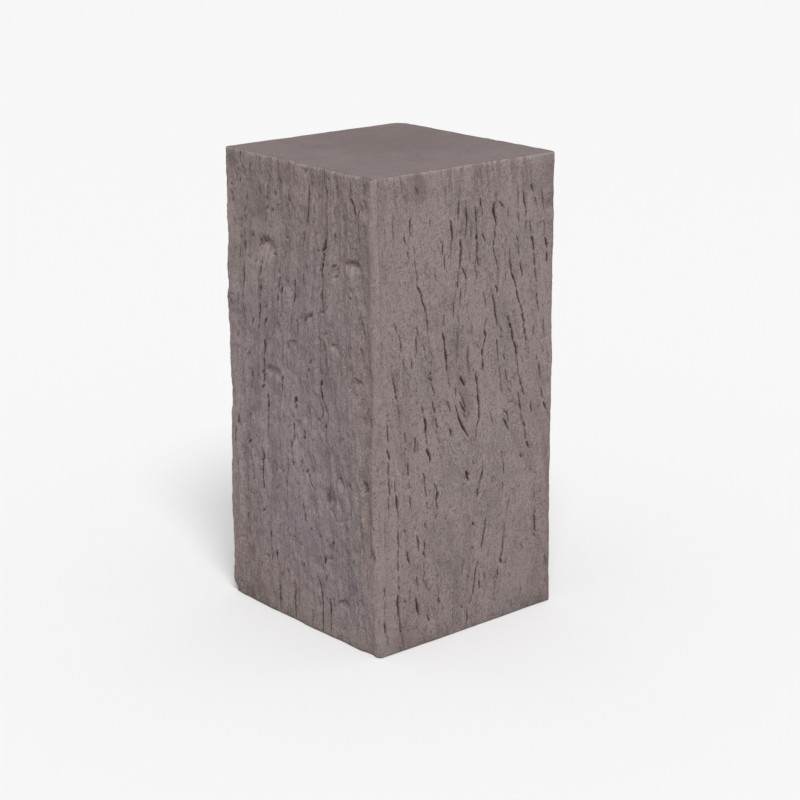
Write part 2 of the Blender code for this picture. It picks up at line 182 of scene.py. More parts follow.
# Checks, the cracks along the grain: width in millimetres, strength from 0 to 1, then the places that
# the check runs through, across and down in millimetres
FRONT_CHECKS = (
    (2.2, 0.3, 126, 46, 126, 60), (3.2, 1.0, 126, 66, 128, 76, 129, 84, 129, 92),
    (2.4, 0.5, 128, 92, 126, 112), (2.0, 0.5, 141, 22, 142, 40), (3.0, 0.9, 140, 44, 139, 56, 138, 68),
    (2.2, 0.4, 144, 66, 146, 88), (2.2, 0.6, 140, 80, 143, 85), (2.2, 0.4, 151, 44, 151, 50),
    (3.2, 0.95, 151, 52, 153, 64, 153, 76), (2.4, 0.4, 153, 76, 151, 90),
    (4.0, 0.9, 142, 91, 144, 104, 142, 120, 141, 129), (3.8, 0.4, 139, 128, 139, 144),
    (3.0, 0.95, 137, 144, 138, 151), (2.2, 0.85, 146, 128, 151, 137, 152, 144),
    (2.4, 0.3, 152, 144, 151, 160), (2.4, 0.8, 112, 92, 113, 100, 112, 106), (2.2, 0.7, 115, 108, 116, 124),
    (1.6, 0.4, 107, 84, 112, 94), (2.6, 0.75, 62, 54, 62, 70), (2.2, 0.75, 61, 70, 64, 77),
    (1.8, 0.5, 66, 90, 68, 98), (1.8, 0.7, 68, 106, 69, 118), (1.5, 0.6, 69, 119, 72, 127, 71, 138),
    (2.4, 0.95, 71, 139, 77, 149), (2.2, 0.85, 78, 150, 80, 160, 83, 166, 86, 176),
    (2.0, 0.6, 86, 176, 89, 188, 88, 200), (1.4, 0.45, 89, 200, 92, 221, 98, 234),
    (2.0, 0.7, 51, 75, 54, 85), (2.2, 0.6, 56, 94, 58, 101), (2.4, 0.3, 46, 2, 50, 18, 53, 27),
    (2.4, 0.3, 54, 27, 57, 36), (2.0, 0.7, 25, 3, 26, 7), (1.6, 0.5, 28, 12, 30, 17),
    (2.0, 0.7, 21, 49, 22, 53), (2.0, 0.35, 22, 60, 23, 86), (2.0, 0.35, 34, 50, 36, 82),
    (2.0, 0.6, 71, 19, 76, 28), (2.0, 0.5, 41, 22, 42, 28), (2.0, 0.6, 93, 60, 93, 69),
    (1.5, 0.5, 82, 113, 88, 122), (1.5, 0.5, 87, 127, 93, 134), (1.5, 0.4, 61, 127, 66, 134),
    (1.5, 0.5, 99, 130, 104, 139), (2.2, 0.5, 136, 82, 136, 89), (2.2, 0.35, 116, 22, 118, 36),
    (2.0, 0.3, 105, 25, 106, 48), (2.0, 0.4, 123, 45, 126, 52), (1.8, 0.65, 34, 179, 38, 190),
    (2.0, 0.65, 41, 195, 44, 202, 45, 217), (2.2, 0.5, 47, 226, 50, 236, 52, 244),
    (1.6, 0.5, 66, 191, 71, 191, 73, 197, 72, 203), (2.2, 0.85, 70, 204, 70, 214, 71, 223),
    (2.0, 0.5, 81, 205, 81, 211), (2.2, 0.6, 81, 213, 84, 222), (2.0, 0.6, 85, 229, 87, 235),
    (2.0, 0.7, 60, 229, 62, 241), (2.2, 0.6, 31, 242, 31, 246), (2.2, 0.85, 32, 247, 34, 258, 36, 269),
    (2.8, 1.0, 36, 271, 37, 276), (1.6, 0.4, 38, 277, 41, 297, 42, 306), (3.0, 0.95, 91, 253, 95, 254),
    (2.4, 0.85, 92, 258, 96, 264), (2.2, 0.7, 94, 265, 98, 276, 101, 280), (2.4, 0.7, 98, 281, 100, 284),
    (2.2, 0.75, 97, 290, 98, 299), (3.0, 1.0, 100, 299, 101, 306), (2.2, 0.65, 77, 291, 80, 301),
    (3.2, 0.95, 113, 204, 116, 214, 117, 228), (3.8, 0.9, 117, 227, 119, 236, 120, 245),
    (3.4, 0.85, 120, 246, 121, 256), (2.4, 0.4, 122, 256, 125, 278), (3.0, 0.55, 132, 169, 131, 188),
    (2.4, 0.3, 135, 154, 133, 170), (3.0, 0.55, 143, 154, 142, 176), (2.0, 0.55, 138, 186, 141, 196),
    (3.4, 0.32, 140, 198, 139, 220, 136, 252), (2.2, 0.3, 154, 171, 154, 184),
    (2.0, 0.6, 115, 181, 115, 196), (2.4, 0.4, 132, 203, 133, 213),
    (3.0, 0.5, 156, 228, 155, 246, 158, 266), (2.8, 1.0, 143, 266, 148, 274, 152, 280),
    (2.2, 0.9, 142, 286, 147, 294, 151, 302, 154, 309), (2.2, 0.65, 134, 278, 136, 291),
    (2.2, 0.7, 120, 294, 125, 303, 128, 310), (2.6, 0.7, 135, 302, 138, 312),
    (2.4, 0.9, 143, 299, 147, 306, 154, 316), (2.0, 0.4, 23, 290, 24, 302), (2.4, 0.7, 22, 306, 23, 328),
    (3.4, 0.9, 21, 337, 23, 343, 25, 350), (2.0, 0.6, 23, 354, 23, 372), (2.2, 0.6, 23, 374, 25, 397),
    (2.2, 0.55, 22, 398, 24, 410, 23, 426), (2.0, 0.7, 50, 321, 52, 334), (2.4, 0.7, 51, 341, 54, 344),
    (2.2, 0.65, 53, 359, 55, 370, 55, 378), (2.6, 0.45, 56, 384, 57, 396), (2.2, 0.65, 57, 403, 58, 421),
    (1.8, 0.4, 59, 422, 61, 434), (2.0, 0.45, 32, 377, 33, 396), (2.8, 0.9, 34, 398, 35, 410, 36, 419),
    (1.8, 0.65, 36, 419, 38, 431), (2.4, 0.7, 36, 445, 38, 468), (2.4, 0.75, 37, 472, 37, 482),
    (2.0, 0.6, 36, 484, 37, 501), (1.8, 0.4, 37, 506, 38, 518), (2.2, 0.7, 37, 519, 40, 530),
    (3.0, 0.95, 36, 531, 37, 552, 39, 567), (2.4, 0.7, 40, 567, 40, 580, 42, 587),
    (2.0, 0.5, 42, 587, 43, 606), (4.2, 1.0, 81, 307, 84, 316, 84, 328), (2.4, 0.5, 85, 329, 86, 339),
    (2.0, 0.7, 83, 340, 87, 340), (4.0, 1.0, 85, 349, 89, 356, 92, 362, 92, 367),
    (2.6, 0.6, 68, 329, 67, 352), (2.2, 0.35, 71, 333, 72, 352), (2.4, 0.75, 79, 379, 82, 385, 82, 396),
    (2.2, 0.65, 82, 397, 85, 412), (2.4, 0.8, 84, 420, 86, 423), (2.2, 0.9, 84, 425, 88, 428),
    (2.2, 0.9, 84, 432, 88, 435), (2.6, 0.8, 82, 446, 84, 454), (2.4, 0.8, 101, 312, 104, 317),
    (2.6, 0.85, 103, 319, 106, 327), (2.2, 0.7, 103, 328, 105, 333), (2.2, 0.75, 99, 397, 103, 407),
    (4.0, 1.0, 103, 408, 104, 414, 102, 422), (2.0, 0.7, 102, 422, 104, 434),
    (2.2, 0.6, 102, 439, 101, 446), (3.2, 1.0, 124, 330, 127, 335, 128, 342),
    (3.0, 1.0, 137, 310, 141, 320, 146, 330, 151, 338, 158, 348), (1.8, 0.45, 149, 315, 158, 328),
    (2.4, 0.75, 46, 447, 49, 452), (2.2, 0.6, 106, 340, 109, 346), (3.4, 1.0, 153, 393, 157, 398, 158, 407),
    (2.8, 0.95, 153, 408, 149, 411), (2.0, 0.5, 143, 352, 145, 358), (2.2, 0.65, 117, 447, 121, 451),
    (2.8, 0.8, 68, 459, 71, 468, 72, 481), (2.8, 0.8, 81, 469, 82, 481), (2.8, 0.65, 80, 483, 81, 493),
    (2.4, 0.35, 80, 497, 80, 508), (2.4, 0.65, 80, 509, 82, 515), (2.4, 0.85, 78, 517, 83, 518),
    (2.0, 0.4, 79, 522, 84, 531, 91, 543), (3.2, 1.0, 53, 478, 54, 487, 58, 496),
    (1.8, 0.5, 71, 499, 71, 507), (2.2, 0.6, 68, 515, 71, 531), (3.6, 1.0, 67, 543, 69, 556, 72, 569),
    (2.4, 0.4, 69, 570, 69, 578), (2.2, 0.45, 66, 581, 68, 587), (2.4, 0.4, 56, 530, 57, 550),
    (2.2, 0.65, 47, 541, 51, 547), (2.6, 0.65, 13, 516, 16, 530), (2.8, 0.35, 16, 532, 15, 556),
    (3.0, 0.8, 16, 564, 16, 580), (2.2, 0.45, 17, 582, 19, 596), (2.6, 0.85, 103, 521, 105, 525),
    (2.6, 0.7, 105, 550, 108, 562), (2.0, 0.3, 105, 534, 106, 550), (2.8, 0.9, 86, 571, 90, 582),
    (2.4, 0.4, 99, 563, 100, 572), (2.0, 0.25, 102, 574, 102, 602), (2.2, 0.5, 151, 513, 148, 530),
    (2.8, 0.85, 146, 575, 150, 580), (2.2, 0.5, 134, 537, 137, 536), (2.6, 0.7, 167, 54, 169, 66, 168, 76),
    (3.0, 0.5, 169, 77, 170, 90), (3.6, 1.0, 169, 88, 171, 97), (3.0, 0.75, 171, 97, 171, 116),
    (2.8, 0.95, 170, 116, 172, 122, 175, 130), (2.4, 0.45, 167, 119, 168, 133),
    (2.2, 0.65, 168, 133, 171, 144), (2.4, 0.8, 175, 44, 177, 57), (2.2, 0.65, 177, 57, 179, 67),
    (1.6, 0.4, 179, 69, 180, 80), (2.2, 0.75, 179, 89, 184, 99), (2.4, 0.3, 160, 78, 160, 102),
    (2.4, 0.4, 158, 104, 158, 124), (3.6, 0.35, 203, 39, 202, 52),
    (3.4, 1.0, 199, 53, 199, 64, 201, 72, 203, 82), (2.4, 0.55, 201, 82, 200, 90, 202, 98),
    (3.0, 0.75, 199, 98, 199, 108), (2.8, 0.75, 198, 110, 200, 118),
    (2.2, 0.7, 200, 118, 203, 126, 206, 132), (2.8, 0.4, 205, 133, 209, 144),
    (2.8, 1.0, 207, 52, 211, 57, 216, 61), (2.2, 0.6, 223, 63, 223, 74), (3.0, 0.4, 239, 35, 240, 62),
    (3.0, 0.4, 241, 72, 242, 82), (3.2, 1.0, 249, 44, 251, 52, 252, 60, 254, 68),
    (1.8, 0.55, 254, 68, 254, 78), (1.8, 0.5, 254, 80, 255, 96), (2.0, 0.3, 248, 18, 249, 44),
    (2.6, 0.95, 264, 37, 266, 44, 269, 49), (2.2, 0.5, 269, 52, 275, 68), (2.2, 0.3, 262, 8, 265, 36),
    (2.0, 0.65, 262, 84, 264, 96), (3.2, 0.9, 266, 105, 269, 113, 270, 123),
    (3.0, 0.95, 270, 127, 272, 134, 273, 143), (2.6, 0.7, 273, 146, 276, 165),
    (2.2, 0.6, 282, 45, 285, 60, 288, 76), (2.4, 0.9, 286, 87, 289, 93),
    (3.0, 0.95, 289, 109, 292, 116, 294, 123), (3.0, 0.9, 294, 129, 295, 143),
    (2.8, 0.35, 288, 93, 289, 108), (2.2, 0.65, 238, 100, 242, 109), (2.0, 0.6, 241, 111, 244, 125),
    (2.4, 0.8, 246, 136, 249, 145, 250, 154), (2.4, 0.5, 226, 114, 228, 127),
    (3.2, 0.95, 228, 127, 229, 136, 231, 146), (3.4, 1.0, 230, 145, 237, 158),
    (2.6, 0.9, 236, 156, 240, 167), (2.2, 0.4, 219, 142, 220, 156), (3.0, 0.3, 207, 146, 208, 162),
    (2.6, 0.9, 202, 159, 206, 163, 205, 169), (2.8, 0.8, 198, 170, 201, 180, 203, 190, 205, 200, 207, 211),
    (2.6, 0.55, 182, 164, 185, 172, 186, 185), (3.0, 0.8, 239, 169, 242, 180, 246, 189),
    (2.6, 0.85, 247, 190, 250, 200), (3.6, 1.0, 250, 202, 252, 209), (4.0, 1.0, 252, 210, 254, 223),
    (3.4, 0.95, 255, 224, 256, 232), (3.0, 0.9, 256, 233, 259, 240), (2.2, 0.4, 258, 241, 258, 248),
    (2.6, 0.75, 226, 202, 229, 210), (3.6, 1.0, 229, 212, 232, 218),
    (3.0, 0.95, 232, 217, 234, 226, 236, 237), (2.8, 0.8, 236, 236, 240, 246, 242, 260),
    (2.2, 0.5, 242, 261, 244, 272, 245, 284), (2.2, 0.6, 246, 283, 249, 289),
    (2.0, 0.6, 210, 209, 215, 222), (2.4, 0.85, 210, 225, 215, 228),
    (2.8, 0.8, 205, 229, 207, 240, 208, 250, 209, 258), (3.0, 0.35, 210, 263, 213, 282),
    (2.4, 0.5, 213, 284, 216, 304), (2.6, 0.8, 218, 250, 220, 258), (2.2, 0.65, 221, 270, 224, 286),
    (2.4, 0.75, 233, 283, 239, 289), (1.8, 0.5, 238, 281, 244, 281), (2.6, 0.75, 248, 289, 251, 299),
    (2.8, 0.85, 252, 299, 256, 312), (2.2, 0.55, 226, 296, 230, 303), (1.6, 0.45, 270, 168, 279, 173),
    (3.0, 0.9, 277, 180, 277, 185), (2.2, 0.65, 277, 185, 280, 204), (1.8, 0.45, 268, 197, 271, 214),
    (2.6, 0.5, 272, 221, 273, 235), (2.4, 0.5, 289, 214, 290, 228, 292, 242),
    (1.6, 0.4, 294, 250, 299, 277), (2.4, 0.55, 277, 262, 279, 270),
    (2.4, 0.7, 281, 274, 283, 284, 286, 295), (2.2, 0.45, 187, 198, 183, 213),
    (2.6, 0.8, 182, 211, 186, 220, 184, 230, 181, 236), (2.0, 0.55, 170, 227, 176, 236),
    (3.8, 1.0, 180, 237, 181, 246), (2.4, 0.4, 181, 246, 181, 254), (2.8, 0.75, 181, 253, 182, 264),
    (3.0, 0.9, 168, 267, 171, 276, 173, 286), (3.4, 1.0, 172, 285, 173, 294, 176, 312),
    (3.4, 0.95, 175, 311, 176, 329), (3.0, 0.7, 175, 329, 172, 338), (2.8, 0.35, 172, 338, 171, 356),
    (2.4, 0.45, 162, 202, 162, 216), (3.0, 0.8, 245, 307, 247, 314, 248, 322, 251, 332),
    (2.4, 0.5, 250, 333, 252, 346), (2.8, 0.95, 254, 348, 258, 355), (2.4, 0.7, 257, 357, 260, 372),
    (2.8, 0.95, 261, 376, 267, 386), (2.4, 0.8, 250, 391, 254, 397),
    (2.2, 0.75, 229, 313, 234, 317, 239, 318), (3.6, 0.4, 240, 318, 243, 323),
    (2.2, 0.7, 219, 325, 221, 328, 225, 329, 227, 343), (2.8, 0.85, 217, 335, 222, 342, 225, 348, 229, 353),
    (1.8, 0.5, 194, 322, 200, 339), (2.8, 0.8, 267, 324, 270, 338), (2.8, 0.7, 287, 309, 289, 321),
    (2.4, 0.8, 291, 328, 297, 339), (1.6, 0.4, 298, 340, 300, 348), (2.2, 0.35, 183, 384, 183, 397),
    (2.8, 0.85, 183, 395, 181, 404, 180, 411), (2.6, 0.4, 178, 411, 177, 420),
    (3.2, 0.9, 175, 421, 174, 432), (2.2, 0.4, 217, 378, 218, 396), (2.4, 0.6, 219, 395, 221, 411),
    (2.2, 0.5, 218, 422, 220, 426, 218, 432), (2.4, 0.4, 276, 437, 278, 462),
    (2.4, 0.4, 284, 438, 288, 452), (2.6, 0.4, 231, 449, 227, 463), (2.2, 0.45, 270, 411, 272, 419),
    (2.4, 0.4, 280, 381, 282, 393), (2.6, 0.5, 199, 414, 201, 418), (3.4, 1.0, 166, 465, 169, 471),
    (3.2, 1.0, 190, 465, 188, 472, 187, 480, 183, 496, 181, 504), (2.6, 0.75, 176, 520, 174, 528),
    (3.0, 0.75, 172, 528, 170, 548), (2.8, 0.65, 169, 549, 167, 565), (2.8, 0.5, 165, 566, 161, 577),
    (2.8, 0.55, 158, 583, 157, 600), (2.4, 0.5, 223, 478, 223, 490, 221, 501),
    (2.8, 0.9, 220, 499, 220, 510, 219, 518, 216, 526), (3.0, 0.9, 214, 527, 218, 535),
    (2.2, 0.7, 217, 534, 226, 535, 227, 530), (2.4, 0.65, 211, 541, 212, 551),
    (2.6, 0.85, 208, 553, 212, 554), (2.2, 0.35, 207, 557, 207, 568),
    (2.8, 0.9, 278, 482, 279, 494, 279, 504), (2.2, 0.45, 278, 474, 278, 483),
    (2.2, 0.7, 276, 507, 280, 513), (2.8, 0.75, 178, 548, 179, 560), (2.2, 0.35, 178, 538, 178, 548),
    (2.4, 0.65, 187, 539, 189, 551), (2.2, 0.6, 156, 535, 163, 542), (2.0, 0.25, 174, 568, 172, 602),
    (2.6, 0.8, 202, 583, 206, 585), (2.6, 0.8, 254, 602, 258, 606), (2.2, 0.4, 236, 594, 238, 602),
    (2.2, 0.4, 231, 550, 234, 558), (2.4, 0.65, 289, 468, 292, 470), (2.2, 0.4, 195, 504, 193, 520),
    (2.4, 0.4, 253, 514, 255, 524), (2.4, 0.5, 297, 543, 298, 559), (2.4, 0.6, 304, 546, 304, 556),
)
LEFT_CHECKS = (
    (3.2, 0.7, 296, 1, 301, 2, 306, 2), (3.0, 0.9, 35, 2, 35, 10), (2.6, 0.8, 34, 12, 36, 18),
    (2.2, 0.6, 38, 18, 41, 22, 44, 26), (2.4, 0.6, 28, 16, 24, 20), (2.0, 0.5, 26, 23, 22, 26),
    (2.2, 0.6, 58, 14, 53, 22), (3.0, 0.7, 54, 21, 53, 27), (2.4, 0.4, 56, 26, 52, 30),
    (2.2, 0.6, 68, 22, 71, 25, 76, 25), (2.6, 0.6, 77, 16, 76, 22), (3.4, 0.9, 33, 36, 32, 42),
    (1.8, 0.5, 40, 37, 50, 39), (3.0, 0.4, 24, 31, 24, 42), (3.0, 0.8, 11, 46, 13, 49),
    (3.0, 0.8, 13, 65, 12, 71), (2.4, 0.6, 11, 55, 12, 62), (3.0, 0.5, 46, 54, 43, 64),
    (2.6, 0.65, 42, 73, 38, 80), (3.0, 0.75, 38, 84, 39, 89), (1.8, 0.55, 15, 94, 24, 92, 36, 91),
    (1.8, 0.4, 33, 96, 43, 90), (2.2, 0.6, 27, 102, 31, 101), (3.0, 0.9, 32, 112, 28, 117),
    (3.0, 0.4, 38, 101, 36, 120), (3.0, 0.7, 38, 118, 37, 132), (2.2, 0.5, 28, 127, 25, 144),
    (2.2, 0.6, 27, 149, 31, 147), (2.0, 0.5, 56, 97, 62, 98), (2.8, 0.9, 57, 105, 53, 110),
    (3.0, 0.9, 68, 136, 63, 141), (2.4, 0.35, 49, 134, 50, 142), (3.0, 0.35, 72, 34, 71, 54),
    (3.0, 0.35, 93, 21, 95, 32), (2.8, 0.75, 94, 32, 92, 35), (3.4, 0.9, 91, 37, 91, 43),
    (2.2, 0.5, 91, 43, 91, 52), (3.0, 0.85, 89, 52, 88, 58), (2.8, 0.9, 91, 64, 86, 71),
    (2.8, 0.55, 85, 76, 83, 85), (3.0, 0.3, 96, 2, 97, 18), (4.2, 1.0, 102, 66, 105, 69),
    (2.6, 0.75, 116, 65, 118, 67), (2.2, 0.6, 113, 61, 117, 58), (3.0, 0.65, 108, 42, 109, 49),
    (2.0, 0.6, 121, 51, 112, 54, 107, 57), (2.6, 0.5, 128, 46, 130, 50), (3.0, 0.5, 136, 43, 136, 53),
    (3.0, 0.6, 136, 62, 137, 76), (2.2, 0.6, 135, 82, 132, 85), (3.0, 0.4, 149, 58, 149, 72),
    (2.2, 0.6, 146, 22, 151, 23), (2.6, 0.7, 152, 38, 155, 35), (2.0, 0.6, 144, 46, 148, 44),
    (2.6, 1.0, 125, 100, 131, 98), (2.0, 0.5, 126, 104, 120, 108), (2.8, 0.85, 81, 101, 80, 113),
    (2.4, 0.7, 72, 106, 74, 114, 71, 120), (2.4, 0.7, 71, 118, 78, 115),
    (3.4, 0.5, 82, 112, 88, 108, 94, 104), (3.4, 0.45, 96, 106, 102, 112), (3.0, 0.75, 99, 124, 109, 126),
    (2.4, 0.75, 113, 136, 116, 135), (2.4, 0.7, 113, 141, 113, 148), (2.8, 0.8, 115, 152, 112, 156),
    (2.6, 0.85, 129, 155, 135, 153), (2.6, 0.8, 146, 149, 145, 162), (2.4, 0.4, 80, 132, 77, 145),
    (3.2, 0.95, 78, 145, 76, 152, 75, 158), (2.2, 0.3, 136, 92, 133, 112), (2.2, 0.4, 86, 137, 93, 143),
    (2.2, 0.5, 151, 124, 158, 125), (3.0, 0.5, 151, 136, 154, 137), (3.4, 0.9, 37, 148, 36, 163, 36, 182),
    (3.0, 0.85, 36, 184, 36, 198), (3.6, 0.9, 36, 198, 38, 206, 37, 215), (3.0, 0.8, 37, 216, 38, 222),
    (3.2, 0.85, 37, 223, 37, 230), (2.6, 0.75, 35, 243, 40, 241), (2.6, 0.5, 26, 186, 25, 203),
    (2.2, 0.6, 14, 177, 20, 179), (3.4, 0.6, 4, 190, 8, 198, 12, 206), (2.4, 0.6, 8, 192, 16, 191),
    (2.6, 0.5, 56, 176, 57, 185), (3.2, 0.9, 58, 216, 54, 224), (2.2, 0.6, 51, 178, 48, 182),
    (3.0, 0.85, 79, 160, 77, 170, 74, 176), (2.2, 0.4, 84, 157, 82, 166), (2.6, 0.5, 73, 154, 72, 168),
    (2.8, 0.7, 76, 175, 73, 184, 72, 192), (3.0, 0.9, 72, 192, 71, 207), (3.0, 0.8, 70, 206, 69, 217),
    (2.6, 0.45, 69, 217, 68, 230), (2.6, 0.5, 68, 232, 67, 236), (3.2, 0.95, 88, 192, 85, 198),
    (3.0, 0.9, 86, 210, 82, 218), (2.4, 0.45, 82, 218, 80, 232), (3.2, 0.95, 79, 240, 79, 252, 77, 261),
    (3.0, 0.85, 77, 265, 75, 277), (3.2, 0.95, 76, 279, 74, 286, 76, 298), (2.8, 0.85, 77, 301, 72, 307),
    (2.8, 0.85, 20, 242, 18, 248), (3.2, 0.85, 40, 259, 38, 264), (2.8, 0.9, 47, 263, 43, 268),
    (2.0, 0.6, 28, 259, 21, 261), (2.2, 0.55, 26, 266, 29, 268), (2.4, 0.55, 20, 270, 22, 271),
    (2.2, 0.5, 15, 261, 11, 263), (2.4, 0.6, 119, 158, 120, 162), (2.8, 0.95, 120, 163, 118, 170, 117, 174),
    (2.4, 0.45, 118, 174, 117, 198), (2.2, 0.7, 117, 199, 111, 204), (3.0, 0.65, 111, 174, 111, 184),
    (2.4, 0.55, 114, 154, 112, 167), (1.8, 0.9, 146, 163, 137, 165), (2.8, 0.9, 145, 163, 143, 180),
    (2.2, 0.5, 141, 181, 140, 187), (2.4, 0.55, 139, 194, 137, 206, 134, 217),
    (2.0, 0.6, 130, 217, 135, 216), (2.4, 0.65, 129, 184, 135, 181),
    (3.0, 0.8, 148, 201, 153, 203, 152, 208), (2.4, 0.4, 152, 208, 151, 222),
    (2.6, 0.45, 110, 210, 109, 220), (2.4, 0.6, 113, 237, 109, 241), (3.2, 0.65, 129, 237, 130, 242),
    (3.8, 0.45, 131, 231, 140, 230, 151, 229), (2.2, 0.5, 101, 226, 94, 229),
    (2.6, 0.8, 155, 198, 159, 195), (2.4, 0.6, 116, 253, 121, 254), (3.0, 0.4, 126, 258, 127, 272),
    (2.8, 0.9, 119, 281, 116, 286), (2.4, 0.5, 117, 287, 117, 304), (3.2, 0.75, 132, 292, 135, 293),
    (3.0, 0.6, 49, 286, 48, 304), (2.4, 0.4, 46, 304, 45, 314), (3.6, 1.0, 144, 302, 141, 311),
    (3.0, 0.65, 144, 311, 143, 319), (3.2, 0.75, 83, 311, 84, 321), (3.2, 1.0, 84, 321, 84, 333),
    (2.6, 0.9, 84, 333, 84, 350, 83, 363), (2.2, 0.4, 83, 363, 83, 372), (3.2, 1.0, 20, 355, 20, 367),
    (2.0, 0.5, 15, 341, 20, 338, 24, 342), (3.0, 0.5, 16, 370, 15, 385, 16, 395),
    (3.4, 0.8, 42, 349, 42, 357), (2.2, 0.5, 45, 364, 42, 368), (3.0, 0.4, 43, 371, 41, 385),
    (2.8, 0.85, 47, 383, 40, 390), (2.8, 0.4, 46, 390, 47, 400), (2.8, 0.65, 48, 403, 49, 412, 51, 421),
    (3.0, 0.45, 52, 422, 54, 434, 50, 438), (3.0, 0.7, 40, 422, 46, 424), (2.6, 0.4, 91, 322, 91, 332),
    (2.6, 0.75, 98, 402, 92, 405), (2.6, 0.5, 102, 402, 100, 410), (3.0, 0.7, 101, 411, 98, 414),
    (2.4, 0.6, 100, 387, 103, 385), (3.2, 0.85, 75, 389, 76, 402, 72, 405), (3.4, 0.85, 73, 405, 75, 412),
    (3.0, 0.75, 74, 412, 74, 431), (3.0, 0.9, 75, 431, 74, 444), (2.2, 0.4, 75, 445, 77, 450),
    (2.6, 0.9, 61, 452, 56, 455), (3.0, 0.8, 65, 452, 68, 450), (3.2, 0.45, 63, 437, 66, 442),
    (2.4, 0.5, 19, 418, 20, 426), (2.4, 0.7, 107, 431, 103, 436, 97, 437), (3.2, 0.9, 136, 328, 139, 331),
    (2.6, 0.6, 133, 327, 136, 326), (3.2, 0.75, 138, 340, 140, 351), (2.8, 0.4, 140, 351, 140, 363),
    (3.0, 0.55, 135, 363, 136, 374, 138, 384), (2.8, 0.55, 141, 385, 141, 395),
    (3.2, 1.0, 128, 389, 132, 387), (2.8, 0.45, 131, 390, 129, 410),
    (3.0, 0.95, 127, 409, 126, 420, 126, 428), (2.4, 0.35, 126, 430, 125, 466),
    (2.4, 0.5, 111, 404, 122, 402), (2.4, 0.5, 105, 410, 110, 408), (2.6, 0.4, 149, 332, 148, 342),
    (3.0, 0.55, 148, 350, 151, 349), (3.0, 0.45, 155, 383, 153, 394), (2.4, 0.5, 126, 346, 131, 344),
    (2.8, 0.6, 31, 479, 27, 482), (2.4, 0.65, 53, 467, 46, 470), (3.0, 0.3, 61, 464, 62, 484),
    (2.6, 0.75, 75, 472, 71, 477), (3.6, 0.45, 35, 488, 35, 506), (3.6, 0.4, 37, 508, 37, 524),
    (3.6, 1.0, 87, 501, 86, 510), (2.4, 0.6, 89, 511, 83, 515), (3.2, 0.9, 91, 523, 87, 528),
    (3.0, 0.6, 90, 529, 90, 538), (3.8, 1.0, 101, 525, 101, 534), (2.2, 0.35, 103, 535, 105, 552),
    (2.4, 0.5, 112, 552, 106, 560), (2.8, 0.9, 125, 525, 120, 528), (3.0, 0.45, 124, 542, 124, 552),
    (4.4, 0.55, 77, 536, 82, 538, 83, 544), (3.0, 0.4, 70, 549, 65, 557), (3.2, 0.75, 51, 573, 55, 574),
    (3.0, 0.9, 102, 564, 103, 574, 104, 585, 106, 608), (3.0, 0.65, 134, 566, 134, 580, 136, 592, 138, 608),
    (2.2, 0.6, 128, 478, 124, 490), (2.6, 0.3, 142, 468, 143, 492), (3.0, 0.6, 137, 492, 148, 496),
    (1.8, 0.5, 14, 530, 24, 525, 31, 528), (2.4, 0.6, 169, 6, 174, 8, 172, 12),
    (3.2, 0.8, 178, 27, 179, 40, 177, 54), (2.8, 0.65, 176, 54, 172, 76),
    (2.2, 0.4, 171, 76, 166, 95, 163, 110), (2.4, 0.6, 185, 22, 190, 22), (3.0, 0.9, 188, 26, 191, 26),
    (2.4, 0.6, 190, 36, 192, 40), (2.2, 0.6, 199, 36, 202, 35), (2.8, 0.4, 190, 48, 191, 60),
    (2.6, 0.6, 209, 3, 211, 16, 214, 34), (2.4, 0.5, 215, 34, 215, 62), (3.0, 0.9, 214, 60, 213, 73),
    (5.6, 1.0, 214, 72, 213, 82, 211, 92, 208, 100, 205, 108), (3.0, 0.75, 210, 104, 208, 112, 204, 115),
    (5.0, 1.0, 206, 117, 204, 124, 203, 131), (3.2, 0.85, 203, 131, 204, 137), (2.8, 0.8, 218, 25, 219, 35),
    (2.2, 0.6, 218, 7, 223, 13), (3.0, 0.85, 194, 104, 200, 104), (2.4, 0.5, 196, 122, 202, 122),
    (2.4, 0.55, 229, 77, 228, 87), (2.6, 0.55, 225, 66, 228, 68), (3.0, 0.4, 264, 8, 264, 28),
    (3.4, 0.95, 265, 29, 268, 37), (3.0, 0.85, 269, 37, 270, 46, 272, 55), (3.0, 0.35, 275, 58, 275, 80),
    (2.6, 0.4, 286, 8, 286, 22), (2.4, 0.5, 282, 23, 289, 24), (3.0, 0.6, 279, 40, 276, 52),
    (2.6, 0.4, 286, 26, 290, 38), (2.4, 0.5, 261, 90, 269, 92), (3.6, 0.65, 254, 109, 264, 107, 274, 107),
    (3.2, 1.0, 225, 119, 234, 115), (2.4, 0.6, 224, 127, 229, 124),
    (2.4, 0.9, 222, 131, 229, 132, 235, 129), (2.4, 0.55, 257, 139, 267, 145),
    (3.0, 0.85, 258, 149, 261, 154), (3.4, 0.5, 164, 140, 165, 154),
    (3.6, 0.95, 204, 152, 201, 160, 201, 166), (3.0, 0.7, 202, 167, 202, 178),
    (3.2, 0.9, 202, 180, 205, 179), (2.4, 0.8, 204, 181, 195, 182), (3.0, 0.8, 185, 185, 176, 192),
    (2.6, 0.65, 175, 182, 170, 184), (2.8, 0.9, 170, 193, 167, 199), (2.2, 0.6, 196, 199, 191, 202),
    (3.0, 0.9, 222, 195, 226, 197), (2.2, 0.6, 206, 204, 222, 202), (2.2, 0.6, 202, 209, 213, 205),
    (2.8, 0.6, 192, 213, 195, 217), (2.2, 0.5, 217, 205, 222, 210),
    (2.8, 0.65, 218, 220, 226, 217, 232, 216), (2.8, 0.55, 196, 218, 195, 234),
    (3.4, 0.85, 206, 219, 204, 226), (3.6, 0.9, 204, 227, 205, 231), (3.0, 0.7, 205, 232, 205, 236),
    (3.6, 1.0, 205, 240, 209, 240), (3.0, 0.6, 207, 241, 207, 250), (3.0, 0.7, 195, 242, 198, 240),
